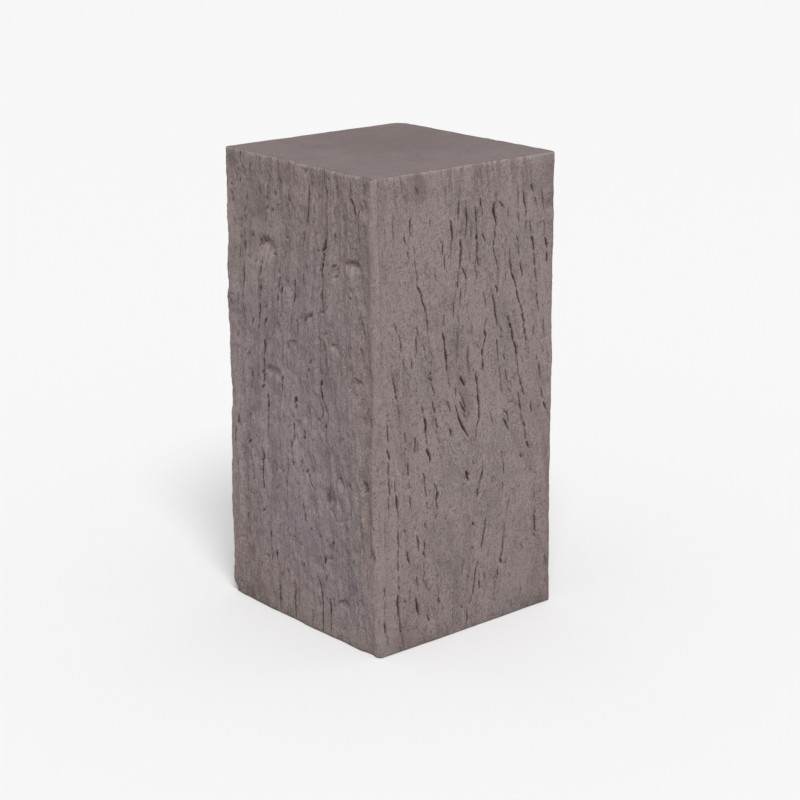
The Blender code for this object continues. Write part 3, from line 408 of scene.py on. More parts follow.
    (3.0, 0.5, 195, 254, 195, 262), (3.0, 0.85, 203, 262, 206, 260), (3.2, 0.8, 211, 264, 214, 265),
    (2.8, 0.85, 179, 246, 175, 252), (2.8, 0.85, 173, 259, 169, 264), (3.0, 0.6, 166, 267, 168, 275),
    (3.8, 1.0, 196, 270, 194, 279), (3.8, 1.0, 195, 280, 196, 287, 197, 295),
    (2.8, 0.9, 197, 294, 200, 299), (3.2, 0.95, 201, 304, 204, 302), (2.6, 0.6, 203, 305, 204, 311),
    (3.0, 0.85, 260, 248, 263, 247), (3.8, 0.6, 261, 251, 272, 254, 280, 254),
    (3.0, 0.85, 270, 258, 273, 256), (2.6, 0.8, 255, 192, 260, 195), (2.2, 0.6, 265, 191, 269, 188),
    (3.0, 0.7, 282, 191, 286, 193), (2.6, 0.5, 255, 212, 255, 228), (2.4, 0.5, 260, 208, 262, 219),
    (2.8, 0.6, 258, 239, 256, 245), (2.8, 0.65, 244, 240, 247, 237),
    (4.0, 0.35, 278, 168, 281, 186, 285, 202), (2.8, 0.6, 279, 209, 280, 218),
    (3.8, 1.0, 159, 345, 160, 352, 156, 356), (3.0, 0.65, 168, 309, 169, 320),
    (2.6, 0.6, 168, 326, 172, 327), (3.2, 0.8, 194, 305, 197, 313, 196, 319),
    (2.6, 0.5, 197, 319, 204, 322), (3.2, 0.75, 203, 323, 203, 336, 204, 344),
    (3.6, 1.0, 205, 359, 208, 366), (3.2, 0.6, 189, 321, 192, 326), (2.6, 0.6, 187, 332, 191, 331),
    (2.8, 0.7, 193, 350, 197, 348), (3.0, 0.6, 233, 336, 233, 344), (2.4, 0.6, 235, 338, 243, 334),
    (3.0, 0.6, 253, 326, 255, 330), (2.4, 0.45, 167, 340, 171, 348), (2.6, 0.75, 167, 393, 163, 400),
    (2.6, 0.65, 167, 400, 170, 408, 174, 414, 181, 420), (2.6, 0.35, 180, 430, 183, 452),
    (3.0, 0.5, 159, 438, 159, 456), (2.8, 0.85, 163, 455, 161, 465), (2.2, 0.55, 207, 409, 210, 417),
    (3.2, 0.45, 203, 408, 206, 420, 206, 434), (3.6, 0.5, 206, 434, 213, 440, 222, 447),
    (3.4, 0.45, 222, 447, 230, 448, 238, 444), (2.8, 0.6, 227, 392, 233, 389, 239, 392),
    (3.0, 0.65, 249, 389, 252, 398), (1.8, 0.55, 243, 372, 252, 369), (3.0, 0.4, 252, 422, 254, 438),
    (2.6, 0.55, 241, 442, 253, 439), (3.0, 0.6, 244, 444, 245, 456),
    (3.6, 0.55, 280, 381, 283, 390, 278, 397), (2.4, 0.5, 272, 389, 277, 387),
    (2.4, 0.65, 298, 356, 301, 354), (2.8, 0.85, 297, 437, 298, 441), (2.4, 0.6, 296, 447, 300, 445),
    (1.8, 0.5, 267, 363, 275, 360), (2.2, 0.6, 274, 430, 278, 428), (3.0, 0.9, 171, 476, 175, 472),
    (2.6, 0.8, 187, 474, 191, 475), (2.6, 0.95, 188, 480, 193, 477), (3.6, 1.0, 215, 479, 214, 485),
    (2.8, 0.55, 209, 471, 214, 469), (3.0, 0.8, 205, 505, 213, 503), (3.4, 0.8, 200, 503, 199, 514),
    (3.0, 0.5, 196, 514, 195, 524), (3.2, 0.8, 203, 528, 202, 536), (3.0, 0.4, 192, 504, 192, 514),
    (3.0, 0.9, 186, 536, 190, 550, 193, 558, 194, 568, 196, 608), (3.4, 0.9, 209, 560, 209, 574, 210, 584),
    (3.0, 0.6, 210, 584, 212, 604), (3.0, 0.8, 171, 578, 175, 576), (3.0, 0.45, 175, 583, 175, 606),
    (2.8, 0.35, 188, 562, 188, 578), (3.2, 0.7, 228, 557, 236, 553, 243, 556),
    (2.4, 0.6, 228, 526, 232, 524), (2.2, 0.6, 243, 521, 247, 520), (4.0, 0.6, 262, 477, 266, 478),
    (4.6, 0.45, 256, 492, 259, 500), (2.8, 0.6, 264, 541, 271, 543, 278, 547),
    (2.4, 0.6, 262, 547, 265, 545), (4.4, 0.4, 293, 464, 294, 488), (3.0, 0.8, 290, 532, 293, 531),
    (2.6, 0.6, 297, 526, 300, 527), (2.8, 0.65, 237, 589, 234, 594), (2.8, 0.55, 248, 601, 250, 608),
    (3.0, 0.7, 155, 524, 159, 531), (2.6, 0.35, 172, 543, 174, 557), (2.4, 0.5, 158, 555, 155, 557),
)
HAND_CHECKS = {"front": FRONT_CHECKS, "left": LEFT_CHECKS}

# Checks placed by a seeded rule: their count on each face, width and length in millimetres, strength,
# and how many of them are plain cracks as strong as the listed ones
Scatter = namedtuple("Scatter", "count widths lengths strengths strong_share")
SCATTER = {
    "front": Scatter(240, (1.0, 1.8), (4, 22), (0.15, 0.5), 0.0),
    "left": Scatter(300, (1.0, 2.0), (4, 20), (0.15, 0.55), 0.0),
    "right": Scatter(330, (1.3, 3.2), (6, 80), (0.2, 0.7), 0.3),
    "back": Scatter(330, (1.3, 3.2), (6, 80), (0.2, 0.7), 0.3),
}

# The others are fine: factors on their width, length and strength, and on the strength of the plain cracks
FINE_WIDTH = 0.6
FINE_LENGTH = 0.35
FINE_STRENGTH = 0.8
CRACK_STRENGTH = 1.35

# Where they may start as shares of the face, how far they lean from the grain, and in millimetres the
# length from which they lean less and the pace at which they are turned with the grain
SCATTER_ACROSS = (0.02, 0.98)
SCATTER_DOWN = (0.01, 0.97)
SCATTER_LEAN = 0.16
SCATTER_STRAY = 10
SCATTER_PACE = 8
EDGE_GAP = 0.001

# A check swells and pinches along its length, tapers to its tips and wanders a little. The steps and
# layers are where each check reads the noise, so that no two are alike.
BEAD_LENGTH = 0.007
BEAD_SWING = 0.4
BEAD_STEP = 3.7
BEAD_LAYER = 0.5
TIP_SHARE = 0.04
TAPER_POWER = 0.4
WANDER = 0.0004
WANDER_LENGTH = 0.009
WANDER_STEP = 1.3
WANDER_LAYER = 2.5
LEAST_POINTS = 4

# Where a check is thinner than this it is drawn this wide, and fainter
LEAST_HALF_WIDTH = 0.0010
FAINTEST = 0.3
FAINT_POWER = 0.6

# Checks shorter than this are shallower pits, down to this share of their strength
PIT_LENGTH = 0.010
PIT_SHARE = 0.5

ACROSS_SHARE = 0.6

# How checks steer the grain round them: their reach across and down, their pull and that of straight
# grain, the most that the grain leans, and the width beside the arrises where it straightens
LEAN_REACH = (0.022, 0.055)
LEAN_PULL = 60
LEAN_STRAIGHT = 0.25
LEAN_MOST = 0.5
LEAN_EDGE = 0.018
LEAN_LEAST_DROP = 0.004
GRAIN_STEP = 0.004

# How strongly thinning spares the points in and beside the checks
THINNING_FACTOR = 0.001

# Faces more level than this belong to the flat top and underside, and are shaded flat
FLAT_FACE = 0.9995

# Ribs and lumps grow to their full depth over this height above the foot, from this share of it
FOOT_CALM = 0.040
FOOT_SHARE = 0.15

# Mesh columns to each side over which the strength of the relief blends from one face to the next
BLEND_COLUMNS = 24

# How far a hewn face stands out before its relief is cut, and the share of that at its very edges
RELIEF_ROOM = {"left": 0.0023}
ROOM_EDGE = 0.030
ROOM_AT_EDGE = 0.6

# Rings of the flat top and underside, as shares of the way to the middle, and the shares at which the
# relief and the skin of the sides have died out
CAP_RINGS = (0.006, 0.015, 0.03, 0.05, 0.08, 0.12, 0.17, 0.23, 0.30, 0.38, 0.47, 0.57, 0.68, 0.80, 0.92)
CAP_RELIEF = 0.12
CAP_SKIN = 0.012

# A check is cut from the first of these to the second, in half widths from its line
GROOVE = (1.2, 0.2)

# How far ribs, splits and lumps are drawn out along the grain, the values of the noise at which ribs and
# lumps begin and are deepest, and how far off its middle a split begins
RIB_STRETCH = 8.0
CREASE_STRETCH = 9.0
LUMP_STRETCH = 1.6
DEEPENING = (0.25, 0.75)
CREASE_BAND = 0.055

# Patterns of noise: how fine they are on each axis, to a metre, then their detail and roughness
Pattern = namedtuple("Pattern", "fineness detail roughness")
NUDGES = Pattern((420, 420, 130), 1.0, 0.5)
CLOUDS = Pattern((24, 24, 11), 4.0, 0.6)
STREAKS = Pattern((110, 110, 16), 3.0, 0.6)
DASHES = Pattern((400, 400, 95), 2.0, 0.6)
HAIRS = Pattern((150, 150, 7), 1.0, 0.5)
RUNS = Pattern((170, 170, 9), 1.0, 0.5)
CRUMBS = Pattern((300, 300, 190), 3.0, 0.7)
SPECKLE = Pattern((620, 620, 560), 2.0, 0.7)
GRIT = Pattern((1400, 1400, 1400), 1.0, 0.5)
BLOTS = Pattern((80, 80, 50), 3.0, 0.6)
PINHOLES = Pattern((540, 540, 360), 1.0, 0.5)

# The finish of the sides ends between these depths below the top. The dull patch on the top has its
# middle here, and the pinholes keep to the front arris, whose middle stands this far in.
SIDE_ENDS = (0.0002, 0.0008)
DULL_MIDDLE = (0.04, 0.04, HIGH.z)
ARRIS_MIDDLE = (LOW.x + 0.010, LOW.y, 0)


def number_prop(name, description, value):
    return FloatProperty(name=name, description=description, default=value)


def length_prop(name, description, value):
    return FloatProperty(name=name, description=description, default=value, unit="LENGTH")


def count_prop(name, description, value):
    return IntProperty(name=name, description=description, default=value)


def colour_prop(name, description, value):
    value = (*value, 1)
    return FloatVectorProperty(name=name, description=description, subtype="COLOR", size=4, default=value)


class BlockSettings(bpy.types.PropertyGroup):
    width: length_prop("Width", "Over the high spots", HIGH.x - LOW.x)
    depth: length_prop("Depth", "Over the high spots", HIGH.y - LOW.y)
    height: length_prop("Height", "Underside to top", HIGH.z - LOW.z)
    top_rim: length_prop("Top rim", "Rounding round the top", 0.0025)
    foot_rim: length_prop("Foot rim", "Rounding round the foot", 0.0025)
    rows: count_prop("Rows", "Mesh rows from foot to top", 400)
    triangles: count_prop("Triangles", "Most triangles of the finished mesh", 197000)
    check_depth: number_prop("Check depth", "Depth of a check for each unit of its width", 1.1)
    edge_wander: length_prop("Edge wander", "How ragged the checks are", 0.0016)
    rib_depth: length_prop("Rib depth", "Soft ribs along the grain", 0.0046)
    rib_width: length_prop("Rib width", "From one rib to the next", 0.024)
    crease_depth: length_prop("Crease depth", "Fine splits along the grain", 0.0008)
    crease_width: length_prop("Crease spacing", "From one split to the next", 0.0085)
    lump_depth: length_prop("Lump depth", "Low lumps of the hewn face", 0.0034)
    lump_width: length_prop("Lump width", "From one lump to the next", 0.018)
    seed: count_prop("Seed", "For the scattered checks", 5)


class FinishSettings(bpy.types.PropertyGroup):
    warm: colour_prop("Warm", "Sandy taupe", (0.296, 0.232, 0.223))
    cool: colour_prop("Cool", "Bluish grey", (0.222, 0.188, 0.190))
    # Brown is also painted shade in the hollows, splits, under ledges, on the flat top and in the furrow
    # beside the front arris
    brown: colour_prop("Brown", "Brown in the grain", (0.120, 0.088, 0.083))
    # Crevice shade: painted shade deep in the checks and in the pinholes
    crevice_shade: colour_prop("Crevice", "Deep in the checks", (0.050, 0.023, 0.017))
    # Lilac grey is also part of the painted shade on the flat top
    lilac: colour_prop("Lilac", "Lilac grey bloom", (0.262, 0.226, 0.258))
    # Sand is also the painted highlight on slopes that face up and along the top rim
    sand: colour_prop("Sand", "Pale worn grains", (0.360, 0.300, 0.285))
    roughness: number_prop("Roughness", "Of the cast skin", 0.92)


class StageSettings(bpy.types.PropertyGroup):
    floor_size: length_prop("Floor", "Side of the floor", 80.0)
    floor_colour: colour_prop("Floor colour", "Pale floor", (0.88, 0.88, 0.88))
    sky: number_prop("Room light", "Even white light", 0.50)
    key_strength: number_prop("Key", "Large soft light from above", 2.3)
    key_softness: number_prop("Key softness", "How wide the light is, in degrees", 24.0)
    key_azimuth: number_prop("Key azimuth", "Where the light stands, in degrees", -33.0)
    key_elevation: number_prop("Key elevation", "Height of the light, in degrees", 52.0)
    azimuth: number_prop("Azimuth", "Camera, in degrees", -40.5)
    elevation: number_prop("Elevation", "Camera, in degrees", 17.1)
    distance: length_prop("Distance", "Camera", 2.619)
    shift_right: length_prop("Right", "Camera", 0.01385)
    shift_up: length_prop("Up", "Camera", -0.02733)
    lens: number_prop("Lens", "In millimetres", 89.87)


def along_of(face):
    """Unit vector across the face, from its first arris to its second."""
    out_x, out_y = face.normal
    return (-out_y, out_x)


def half_out(face, block):
    return (block.width if face.normal[0] else block.depth) / 2


def half_along(face, block):
    return (block.depth if face.normal[0] else block.width) / 2


def following(face):
    return FACES[(FACES.index(face) + 1) % len(FACES)]


def arris_radius(face, up, block):
    """Radius of the arris at the start of a face. The rounder ones sharpen just above the floor."""
    foot, top = ARRIS_RADII[face.name]
    radius = foot + (top - foot) * up / block.height
    sharper = min(foot, FOOT_ARRIS) - foot
    return radius + sharper * np.exp(-((up / FOOT_ARRIS_HEIGHT) ** 2))


def rim_inset(up, block):
    """How far the rounding at the foot or the top draws the section in at each height."""
    foot_short = np.clip(block.foot_rim - up, 0, block.foot_rim)
    top_short = np.clip(up - (block.height - block.top_rim), 0, block.top_rim)
    foot = block.foot_rim - np.sqrt(block.foot_rim**2 - foot_short**2)
    return foot + block.top_rim - np.sqrt(block.top_rim**2 - top_short**2)


class FaceGrid:
    """Values on a regular grid over a face, read between its points."""

    def __init__(self, face, block, step):
        self.wide = 2 * half_along(face, block)
        self.across = np.linspace(0, self.wide, round(self.wide / step) + 1)
        self.down = np.linspace(0, block.height, round(block.height / step) + 1)
        self.values = np.zeros((len(self.down), len(self.across)))

    def read(self, across, down):
        """Bilinear values at places across and down, in metres."""
        column = np.clip(across / self.wide, 0, 1) * (len(self.across) - 1)
        row = np.clip(down / self.down[-1], 0, 1) * (len(self.down) - 1)
        left = np.minimum(column.astype(int), len(self.across) - 2)
        top = np.minimum(row.astype(int), len(self.down) - 2)
        part, drop = column - left, row - top
        upper = self.values[top, left] * (1 - part) + self.values[top, left + 1] * part
        lower = self.values[top + 1, left] * (1 - part) + self.values[top + 1, left + 1] * part
        return upper * (1 - drop) + lower * drop


def foot_calm(up):
    """How strongly the ribs and lumps show at a height: fully, but less and less near the foot."""
    return FOOT_SHARE + (1 - FOOT_SHARE) * np.clip(up / FOOT_CALM, 0, 1)


def hewn_grid(face, block):
    """Depth of the hewn surface below the nominal plane: out of square, swellings and low waves."""
    grid = FaceGrid(face, block, INSET_GRID)
    across, down = np.meshgrid(grid.across, grid.down)
    up = block.height - down
    foot_start, foot_end, top_start, top_end = face.corner_insets
    share = across / grid.wide
    foot = foot_start + (foot_end - foot_start) * share
    top = top_start + (top_end - top_start) * share
    grid.values = foot + (top - foot) * up / block.height
    for swell in SWELLS.get(face.name, ()):
        off_across = (across - swell.across * MM) / swell.half_width
        off_down = (down - swell.down * MM) / swell.half_height
        grid.values += swell.inset * np.exp(-(off_across**2) - off_down**2)
    layer = FACES.index(face) * WAVE_LAYER
    for row, height in enumerate(block.height - grid.down):
        for column, place in enumerate(grid.across):
            at = Vector((place / WAVE_ACROSS, height / WAVE_ALONG, layer))
            wave = noise.noise(at) + WAVE_LOWER * noise.noise(at * WAVE_CLOSER)
            grid.values[row, column] += face.wave * wave
    inner = (grid.down > block.top_rim) & (grid.down < block.height - block.foot_rim)
    grid.values -= grid.values[inner].min()
    edge = np.clip(np.minimum(grid.across, grid.wide - grid.across) / ROOM_EDGE, 0, 1)
    room = RELIEF_ROOM.get(face.name, 0) * foot_calm(block.height - grid.down)[:, None]
    grid.values -= room * (ROOM_AT_EDGE + (1 - ROOM_AT_EDGE) * edge)
    return grid


def dent_depth(face, across, down):
    """Depth of the adze dents at places across and down, in metres."""
    depth = np.zeros_like(across)
    for dent in DENTS.get(face.name, ()):
        turn = math.radians(dent.turn)
        off_across = across / MM - dent.across
        off_down = down / MM - dent.down
        wide = (off_across * math.cos(turn) + off_down * math.sin(turn)) / dent.half_width
        tall = (off_down * math.cos(turn) - off_across * math.sin(turn)) / dent.half_height
        reach = np.sqrt(np.clip(1 - wide**2, 0, 1))
        share = np.where(reach > 0, (tall + reach) / np.maximum(2 * reach, 1e-6), -1)
        inside = (share > 0) & (share < 1)
        fall = np.clip(share / DENT_EDGE, 0, 1)
        rise = np.clip((1 - share) / (1 - DENT_EDGE), 0, 1)
        bowl = np.sin(fall * math.pi / 2) * rise**DENT_SLOPE * reach**DENT_ENDS
        depth = np.maximum(depth, np.where(inside, bowl, 0) * dent.depth * DENT_DEEPER * MM)
    return depth


def stain_and_shade_share(face, across, down):
    """How strongly stains, blooms and painted shade tint the skin at places across and down, in metres."""
    share = np.zeros_like(across)
    for stain_and_shade in STAINS_AND_SHADE[face.name]:
        off_across = (across / MM - stain_and_shade.across) / stain_and_shade.half_width
        off_down = (down / MM - stain_and_shade.down) / stain_and_shade.half_height
        share += stain_and_shade.amount * np.exp(-(off_across**2) - off_down**2)
    return share


def hewn_places(x, y, up, grids, block):
    """Brings points of the nominal rounded square in to the hewn surface."""
    moved = [x.copy(), y.copy()]
    rim = rim_inset(up, block)
    for face in FACES:
        out = x * face.normal[0] + y * face.normal[1]
        along = along_of(face)
        across = x * along[0] + y * along[1] + half_along(face, block)
        inset = grids[face.name].read(across, block.height - up) + rim
        share = np.where(out > 0, inset / half_out(face, block), 0)
        axis = 0 if face.normal[0] else 1
        moved[axis] = moved[axis] * (1 - share)
    return moved[0], moved[1]


def face_places(face, across, up, grids, block):
    """Points on a hewn face and its rounded arrises, at places across it and heights."""
    start = arris_radius(face, up, block)
    end = arris_radius(following(face), up, block)
    wide = 2 * half_along(face, block)
    short = np.clip(start - across, 0, start)
    far = np.clip(across - (wide - end), 0, end)
    rounding = start - np.sqrt(start**2 - short**2) + end - np.sqrt(end**2 - far**2)
    out = half_out(face, block) - rounding
    along = along_of(face)
    place = across - wide / 2
    x = face.normal[0] * out + along[0] * place
    y = face.normal[1] * out + along[1] * place
    x, y = hewn_places(x, y, up, grids, block)
    dent = dent_depth(face, across, block.height - up)
    return np.stack([x - face.normal[0] * dent, y - face.normal[1] * dent, up], axis=-1)


def mesh_levels(block):
    """Heights of the mesh rows, closer together in the two rims."""
    quarter = np.linspace(0, math.pi / 2, RIM_STEPS + 1)
    foot = block.foot_rim * (1 - np.sin(quarter[::-1]))
    top = block.height - block.top_rim * (1 - np.sin(quarter))
    middle = np.linspace(block.foot_rim, block.height - block.top_rim, block.rows + 1)
    return np.concatenate([foot[:-1], middle, top[1:]])


def nominal_rings(levels, block):
    """The rounded square at each height, with the face and the outward direction of each column."""
    xs, ys, owners, outwards = [], [], [], []
    for index, face in enumerate(FACES):
        start = arris_radius(face, levels, block)[:, None]
        radius = arris_radius(following(face), levels, block)[:, None]
        wide = 2 * half_along(face, block)
        share = np.linspace(0, 1, face.columns + 1)[None, :]
        flat = start + (wide - radius - start) * share
        turn = np.linspace(0, math.pi / 2, ARRIS_STEPS + 1)[None, 1:-1]
        bend_out = radius * (1 - np.cos(turn))
        bend_along = wide - radius * (1 - np.sin(turn))
        across = np.concatenate([flat, bend_along], axis=1)
        out = half_out(face, block) - np.concatenate([np.zeros_like(flat), bend_out], axis=1)
        along = along_of(face)
        place = across - wide / 2
        xs.append(face.normal[0] * out + along[0] * place)
        ys.append(face.normal[1] * out + along[1] * place)
        owners.append(np.full(across.shape[1], index))
        bend = np.concatenate([np.zeros(face.columns + 1), turn[0]])[:, None]
        outwards.append(np.cos(bend) * np.array(face.normal) + np.sin(bend) * np.array(along))
    rings = np.concatenate(xs, axis=1), np.concatenate(ys, axis=1)
    return rings, np.concatenate(owners), np.concatenate(outwards)


def check_rows(face, block):
    """The listed checks on a face, in metres: (width, strength, places)."""
    rows = []
    for width, strength, *places in HAND_CHECKS.get(face.name, ()):
        points = np.array(places, float).reshape(-1, 2) * MM
        length = np.linalg.norm(np.diff(points, axis=0), axis=1).sum()
        run, drop = np.abs(points[-1] - points[0])
        share = min(1, PIT_SHARE + (1 - PIT_SHARE) * length / PIT_LENGTH)
        share *= 1 if drop > run else ACROSS_SHARE
        rows.append((width * MM, strength * share, points))
    return rows


def lean_grid(face, rows, block):
    grid = FaceGrid(face, block, GRAIN_STEP)
    across, down = np.meshgrid(grid.across, grid.down)
    total = np.zeros_like(across)
    weight = np.full_like(across, LEAN_STRAIGHT)
    for _, strength, points in rows:
        for first, second in zip(points, points[1:]):
            run, drop = second - first
            if abs(drop) < 2 * abs(run) * LEAN_MOST or abs(drop) < LEAN_LEAST_DROP:
                continue
            middle = (first + second) / 2
            off_across = (across - middle[0]) / LEAN_REACH[0]
            off_down = (down - middle[1]) / LEAN_REACH[1]
            pull = strength * abs(drop) * LEAN_PULL * np.exp(-(off_across**2) - off_down**2)
            total += pull * np.clip(run / drop, -LEAN_MOST, LEAN_MOST)
            weight += pull
    edge = np.clip(np.minimum(across, grid.wide - across) / LEAN_EDGE, 0, 1)
    grid.values = total / weight * edge
    return grid


def grain_grid(face, lean, block):
    """Where each place would stand if the grain ran straight: constant along a line of the grain."""
    grid = FaceGrid(face, block, GRAIN_STEP)
    middle = len(grid.down) // 2
    grid.values[middle] = grid.across
    fall = grid.down[1] - grid.down[0]
    for rows, turn in ((range(middle + 1, len(grid.down)), 1), (range(middle - 1, -1, -1), -1)):
        for row in rows:
            source = grid.across - turn * fall * lean.values[row - turn]
            grid.values[row] = np.interp(source, grid.across, grid.values[row - turn])
    return grid


def scattered_rows(face, lean, block, seed):
    """Seeded checks that follow the grain."""
    draw = random.Random(seed + FACES.index(face))
    rule = SCATTER[face.name]
    wide = 2 * half_along(face, block)
    rows = []
    for number in range(rule.count):
        strong = number < rule.count * rule.strong_share
        width = draw.uniform(*rule.widths) * (1 if strong else FINE_WIDTH)
        length = draw.uniform(*rule.lengths) * (1 if strong else FINE_LENGTH)
        strength = draw.uniform(*rule.strengths) * (CRACK_STRENGTH if strong else FINE_STRENGTH)
        across = draw.uniform(*SCATTER_ACROSS) * wide
        down = draw.uniform(*SCATTER_DOWN) * block.height
        tilt = draw.gauss(0, SCATTER_LEAN) * min(1, SCATTER_STRAY / length)
        points = [np.array([across, down])]
        for _ in range(max(1, round(length / SCATTER_PACE))):
            here = points[-1]
            pace = min(SCATTER_PACE, length) * MM
            slope = float(lean.read(here[:1], here[1:])[0]) + tilt
            points.append(here + np.array([slope * pace, pace]))
        points = np.clip(points, EDGE_GAP, np.array([wide, block.height]) - EDGE_GAP)
        rows.append((width * MM, min(1.0, strength), points))
    return rows


def beaded(share, length, seed):
    """Thickness along a check, swelling and pinching as it tapers to its ends."""
    taper = np.clip(4 * share * (1 - share), TIP_SHARE, 1) ** TAPER_POWER
    along = length * share / BEAD_LENGTH
    beads = [noise.noise(Vector((place, seed * BEAD_STEP, BEAD_LAYER))) for place in along]
    return taper * (1 + BEAD_SWING * np.array(beads))


def make_check_lines(grids, rows_of, block):
    """A mesh of edges down the middle of every check, carrying its half width and strength."""
    places, edges, widths, strengths = [], [], [], []
    count = 0
    for face in FACES:
        for number, (width, strength, points) in enumerate(rows_of[face.name]):
            steps = np.concatenate([[0], np.cumsum(np.linalg.norm(np.diff(points, axis=0), axis=1))])
            length = steps[-1]
            at = np.linspace(0, length, max(LEAST_POINTS, round(length / MM) + 1))
            across = np.interp(at, steps, points[:, 0])
            down = np.interp(at, steps, points[:, 1])
            step = number * WANDER_STEP
            sway = [noise.noise(Vector((place / WANDER_LENGTH, step, WANDER_LAYER))) for place in at]
            across += WANDER * np.array(sway)
            thick = beaded(at / length, length, number)
            places.append(face_places(face, across, block.height - down, grids, block))
            half = width / 2 * thick
            widths.append(np.maximum(half, LEAST_HALF_WIDTH))
            strengths.append(strength * np.clip(half / LEAST_HALF_WIDTH, FAINTEST, 1) ** FAINT_POWER)
            edges.append(np.stack([np.arange(len(at) - 1), np.arange(1, len(at))], axis=1) + count)
            count += len(at)
    mesh = bpy.data.meshes.new("check_lines")
    mesh.from_pydata(np.concatenate(places).tolist(), np.concatenate(edges).tolist(), [])
    store(mesh, "half_width", np.concatenate(widths))
    store(mesh, "strength", np.concatenate(strengths))
    lines = bpy.data.objects.new("check_lines", mesh)
    bpy.context.scene.collection.objects.link(lines)
    return lines


def store(mesh, name, values):
    """Keeps one value for each point as a named attribute, a number or a vector."""
    kind = "FLOAT" if values.ndim == 1 else "FLOAT_VECTOR"
    attribute = mesh.attributes.new(name, kind, "POINT")
    field = "value" if values.ndim == 1 else "vector"
    attribute.data.foreach_set(field, values.astype(np.float32).ravel())


def cap_places(ring):
    """Rings from an edge to the middle of the flat top or underside, and the middle point."""
    centre = ring.mean(axis=0)
    centre[2] = ring[0, 2]
    rings = [ring + (centre - ring) * share for share in CAP_RINGS]
    return np.concatenate(rings + [centre[None, :]])


def strip_faces(lower, upper, count):
    """Quads between two rings of points, given the number of the first point of each."""
    here = np.arange(count)
    there = (here + 1) % count
    return np.stack([lower + here, lower + there, upper + there, upper + here], axis=1)


def block_faces(rows, count):
    """Quads of the sides and of the rings on both caps, and the triangles that close the caps."""
    here = np.arange(count)
    quads = [strip_faces(row * count, (row + 1) * count, count) for row in range(rows - 1)]
    fans = []
    top = rows * count
    foot = top + len(CAP_RINGS) * count + 1
    for start, edge, flip in ((top, top - count, False), (foot, 0, True)):
        inner = [start + ring * count for ring in range(len(CAP_RINGS))]
        for lower, upper in zip([edge] + inner, inner):
            strip = strip_faces(lower, upper, count)
            quads.append(strip[:, ::-1] if flip else strip)
        middle = np.full(count, start + len(CAP_RINGS) * count)
        fan = np.stack([inner[-1] + here, inner[-1] + (here + 1) % count, middle], axis=1)
        fans.append(fan[:, ::-1] if flip else fan)
    return np.concatenate(quads), np.concatenate(fans)


def make_dense_block(grids, grains, block):
    """The hewn block as a close mesh, with the attributes that the relief and the finish read."""
    levels = mesh_levels(block)
    (x, y), owners, outwards = nominal_rings(levels, block)
    count, rows = x.shape[1], len(levels)
    up = np.repeat(levels[:, None], count, axis=1)
    hewn_x, hewn_y = hewn_places(x, y, up, grids, block)
    side = np.stack([hewn_x, hewn_y, up], axis=-1)
    grain = side.copy()
    strength = np.zeros_like(up)
    stain_and_shade = np.zeros_like(up)
    for index, face in enumerate(FACES):
        mine = owners == index
        along = along_of(face)
        across = x[:, mine] * along[0] + y[:, mine] * along[1] + half_along(face, block)
        down = block.height - up[:, mine]
        dent = dent_depth(face, across, down)
        side[:, mine, 0] -= face.normal[0] * dent
        side[:, mine, 1] -= face.normal[1] * dent
        flow = grains[face.name].read(across, down) - across
        grain[:, mine, 0] += along[0] * flow
        grain[:, mine, 1] += along[1] * flow
        strength[:, mine] = face.hewn * foot_calm(up[:, mine])
        stain_and_shade[:, mine] = stain_and_shade_share(face, across, down)
    strength = blend_round(strength)
    top, foot = side[-1], side[0]
    places = np.concatenate([side.reshape(-1, 3), cap_places(top), cap_places(foot)])

    # On the caps the relief is that of the nearest rim and dies out a little way in
    def with_caps(values, cap_of):
        flat = values.reshape(rows * count, -1)
        return np.concatenate([flat, cap_of(values[-1]), cap_of(values[0])]).squeeze()

    def from_rim(rim):
        rim = rim.reshape(count, -1)
        return np.concatenate([np.tile(rim, (len(CAP_RINGS), 1)), rim[:1]])

    def fading(reach):
        shares = np.append(np.repeat(CAP_RINGS, count), 1.0)[:, None]
        return lambda rim: from_rim(rim) * np.clip(1 - shares / reach, 0, 1)

    outward = np.concatenate([outwards, np.zeros((count, 1))], axis=1)
    outward = np.tile(outward, (rows, 1, 1))
    mesh = mesh_of(places, *block_faces(rows, count))
    store(mesh, "grain", with_caps(grain, from_rim))
    store(mesh, "place", with_caps(side, from_rim))
    store(mesh, "outward", with_caps(outward, fading(CAP_RELIEF)))
    store(mesh, "side", with_caps(np.ones_like(up), fading(CAP_SKIN)))
    store(mesh, "hewn", with_caps(strength, from_rim))
    store(mesh, "stain_and_shade", with_caps(stain_and_shade, fading(CAP_SKIN)))
    made = bpy.data.objects.new("timber_cast", mesh)
    bpy.context.scene.collection.objects.link(made)
    return made


def blend_round(values):
    """Blends a value between neighbouring faces, round the ring."""
    shifts = range(-BLEND_COLUMNS, BLEND_COLUMNS + 1)
    return sum(np.roll(values, shift, axis=1) for shift in shifts) / len(shifts)


def mesh_of(places, quads, triangles):
    mesh = bpy.data.meshes.new("timber_cast")
    mesh.vertices.add(len(places))
    mesh.vertices.foreach_set("co", places.astype(np.float32).ravel())
    corners = np.concatenate([quads.ravel(), triangles.ravel()])
    mesh.loops.add(len(corners))
    mesh.loops.foreach_set("vertex_index", corners.astype(np.int32))
    starts = np.concatenate([np.arange(len(quads)) * 4, len(quads) * 4 + np.arange(len(triangles)) * 3])
    mesh.polygons.add(len(starts))
    mesh.polygons.foreach_set("loop_start", starts.astype(np.int32))
    mesh.update(calc_edges=True)
    mesh.validate()
    return mesh


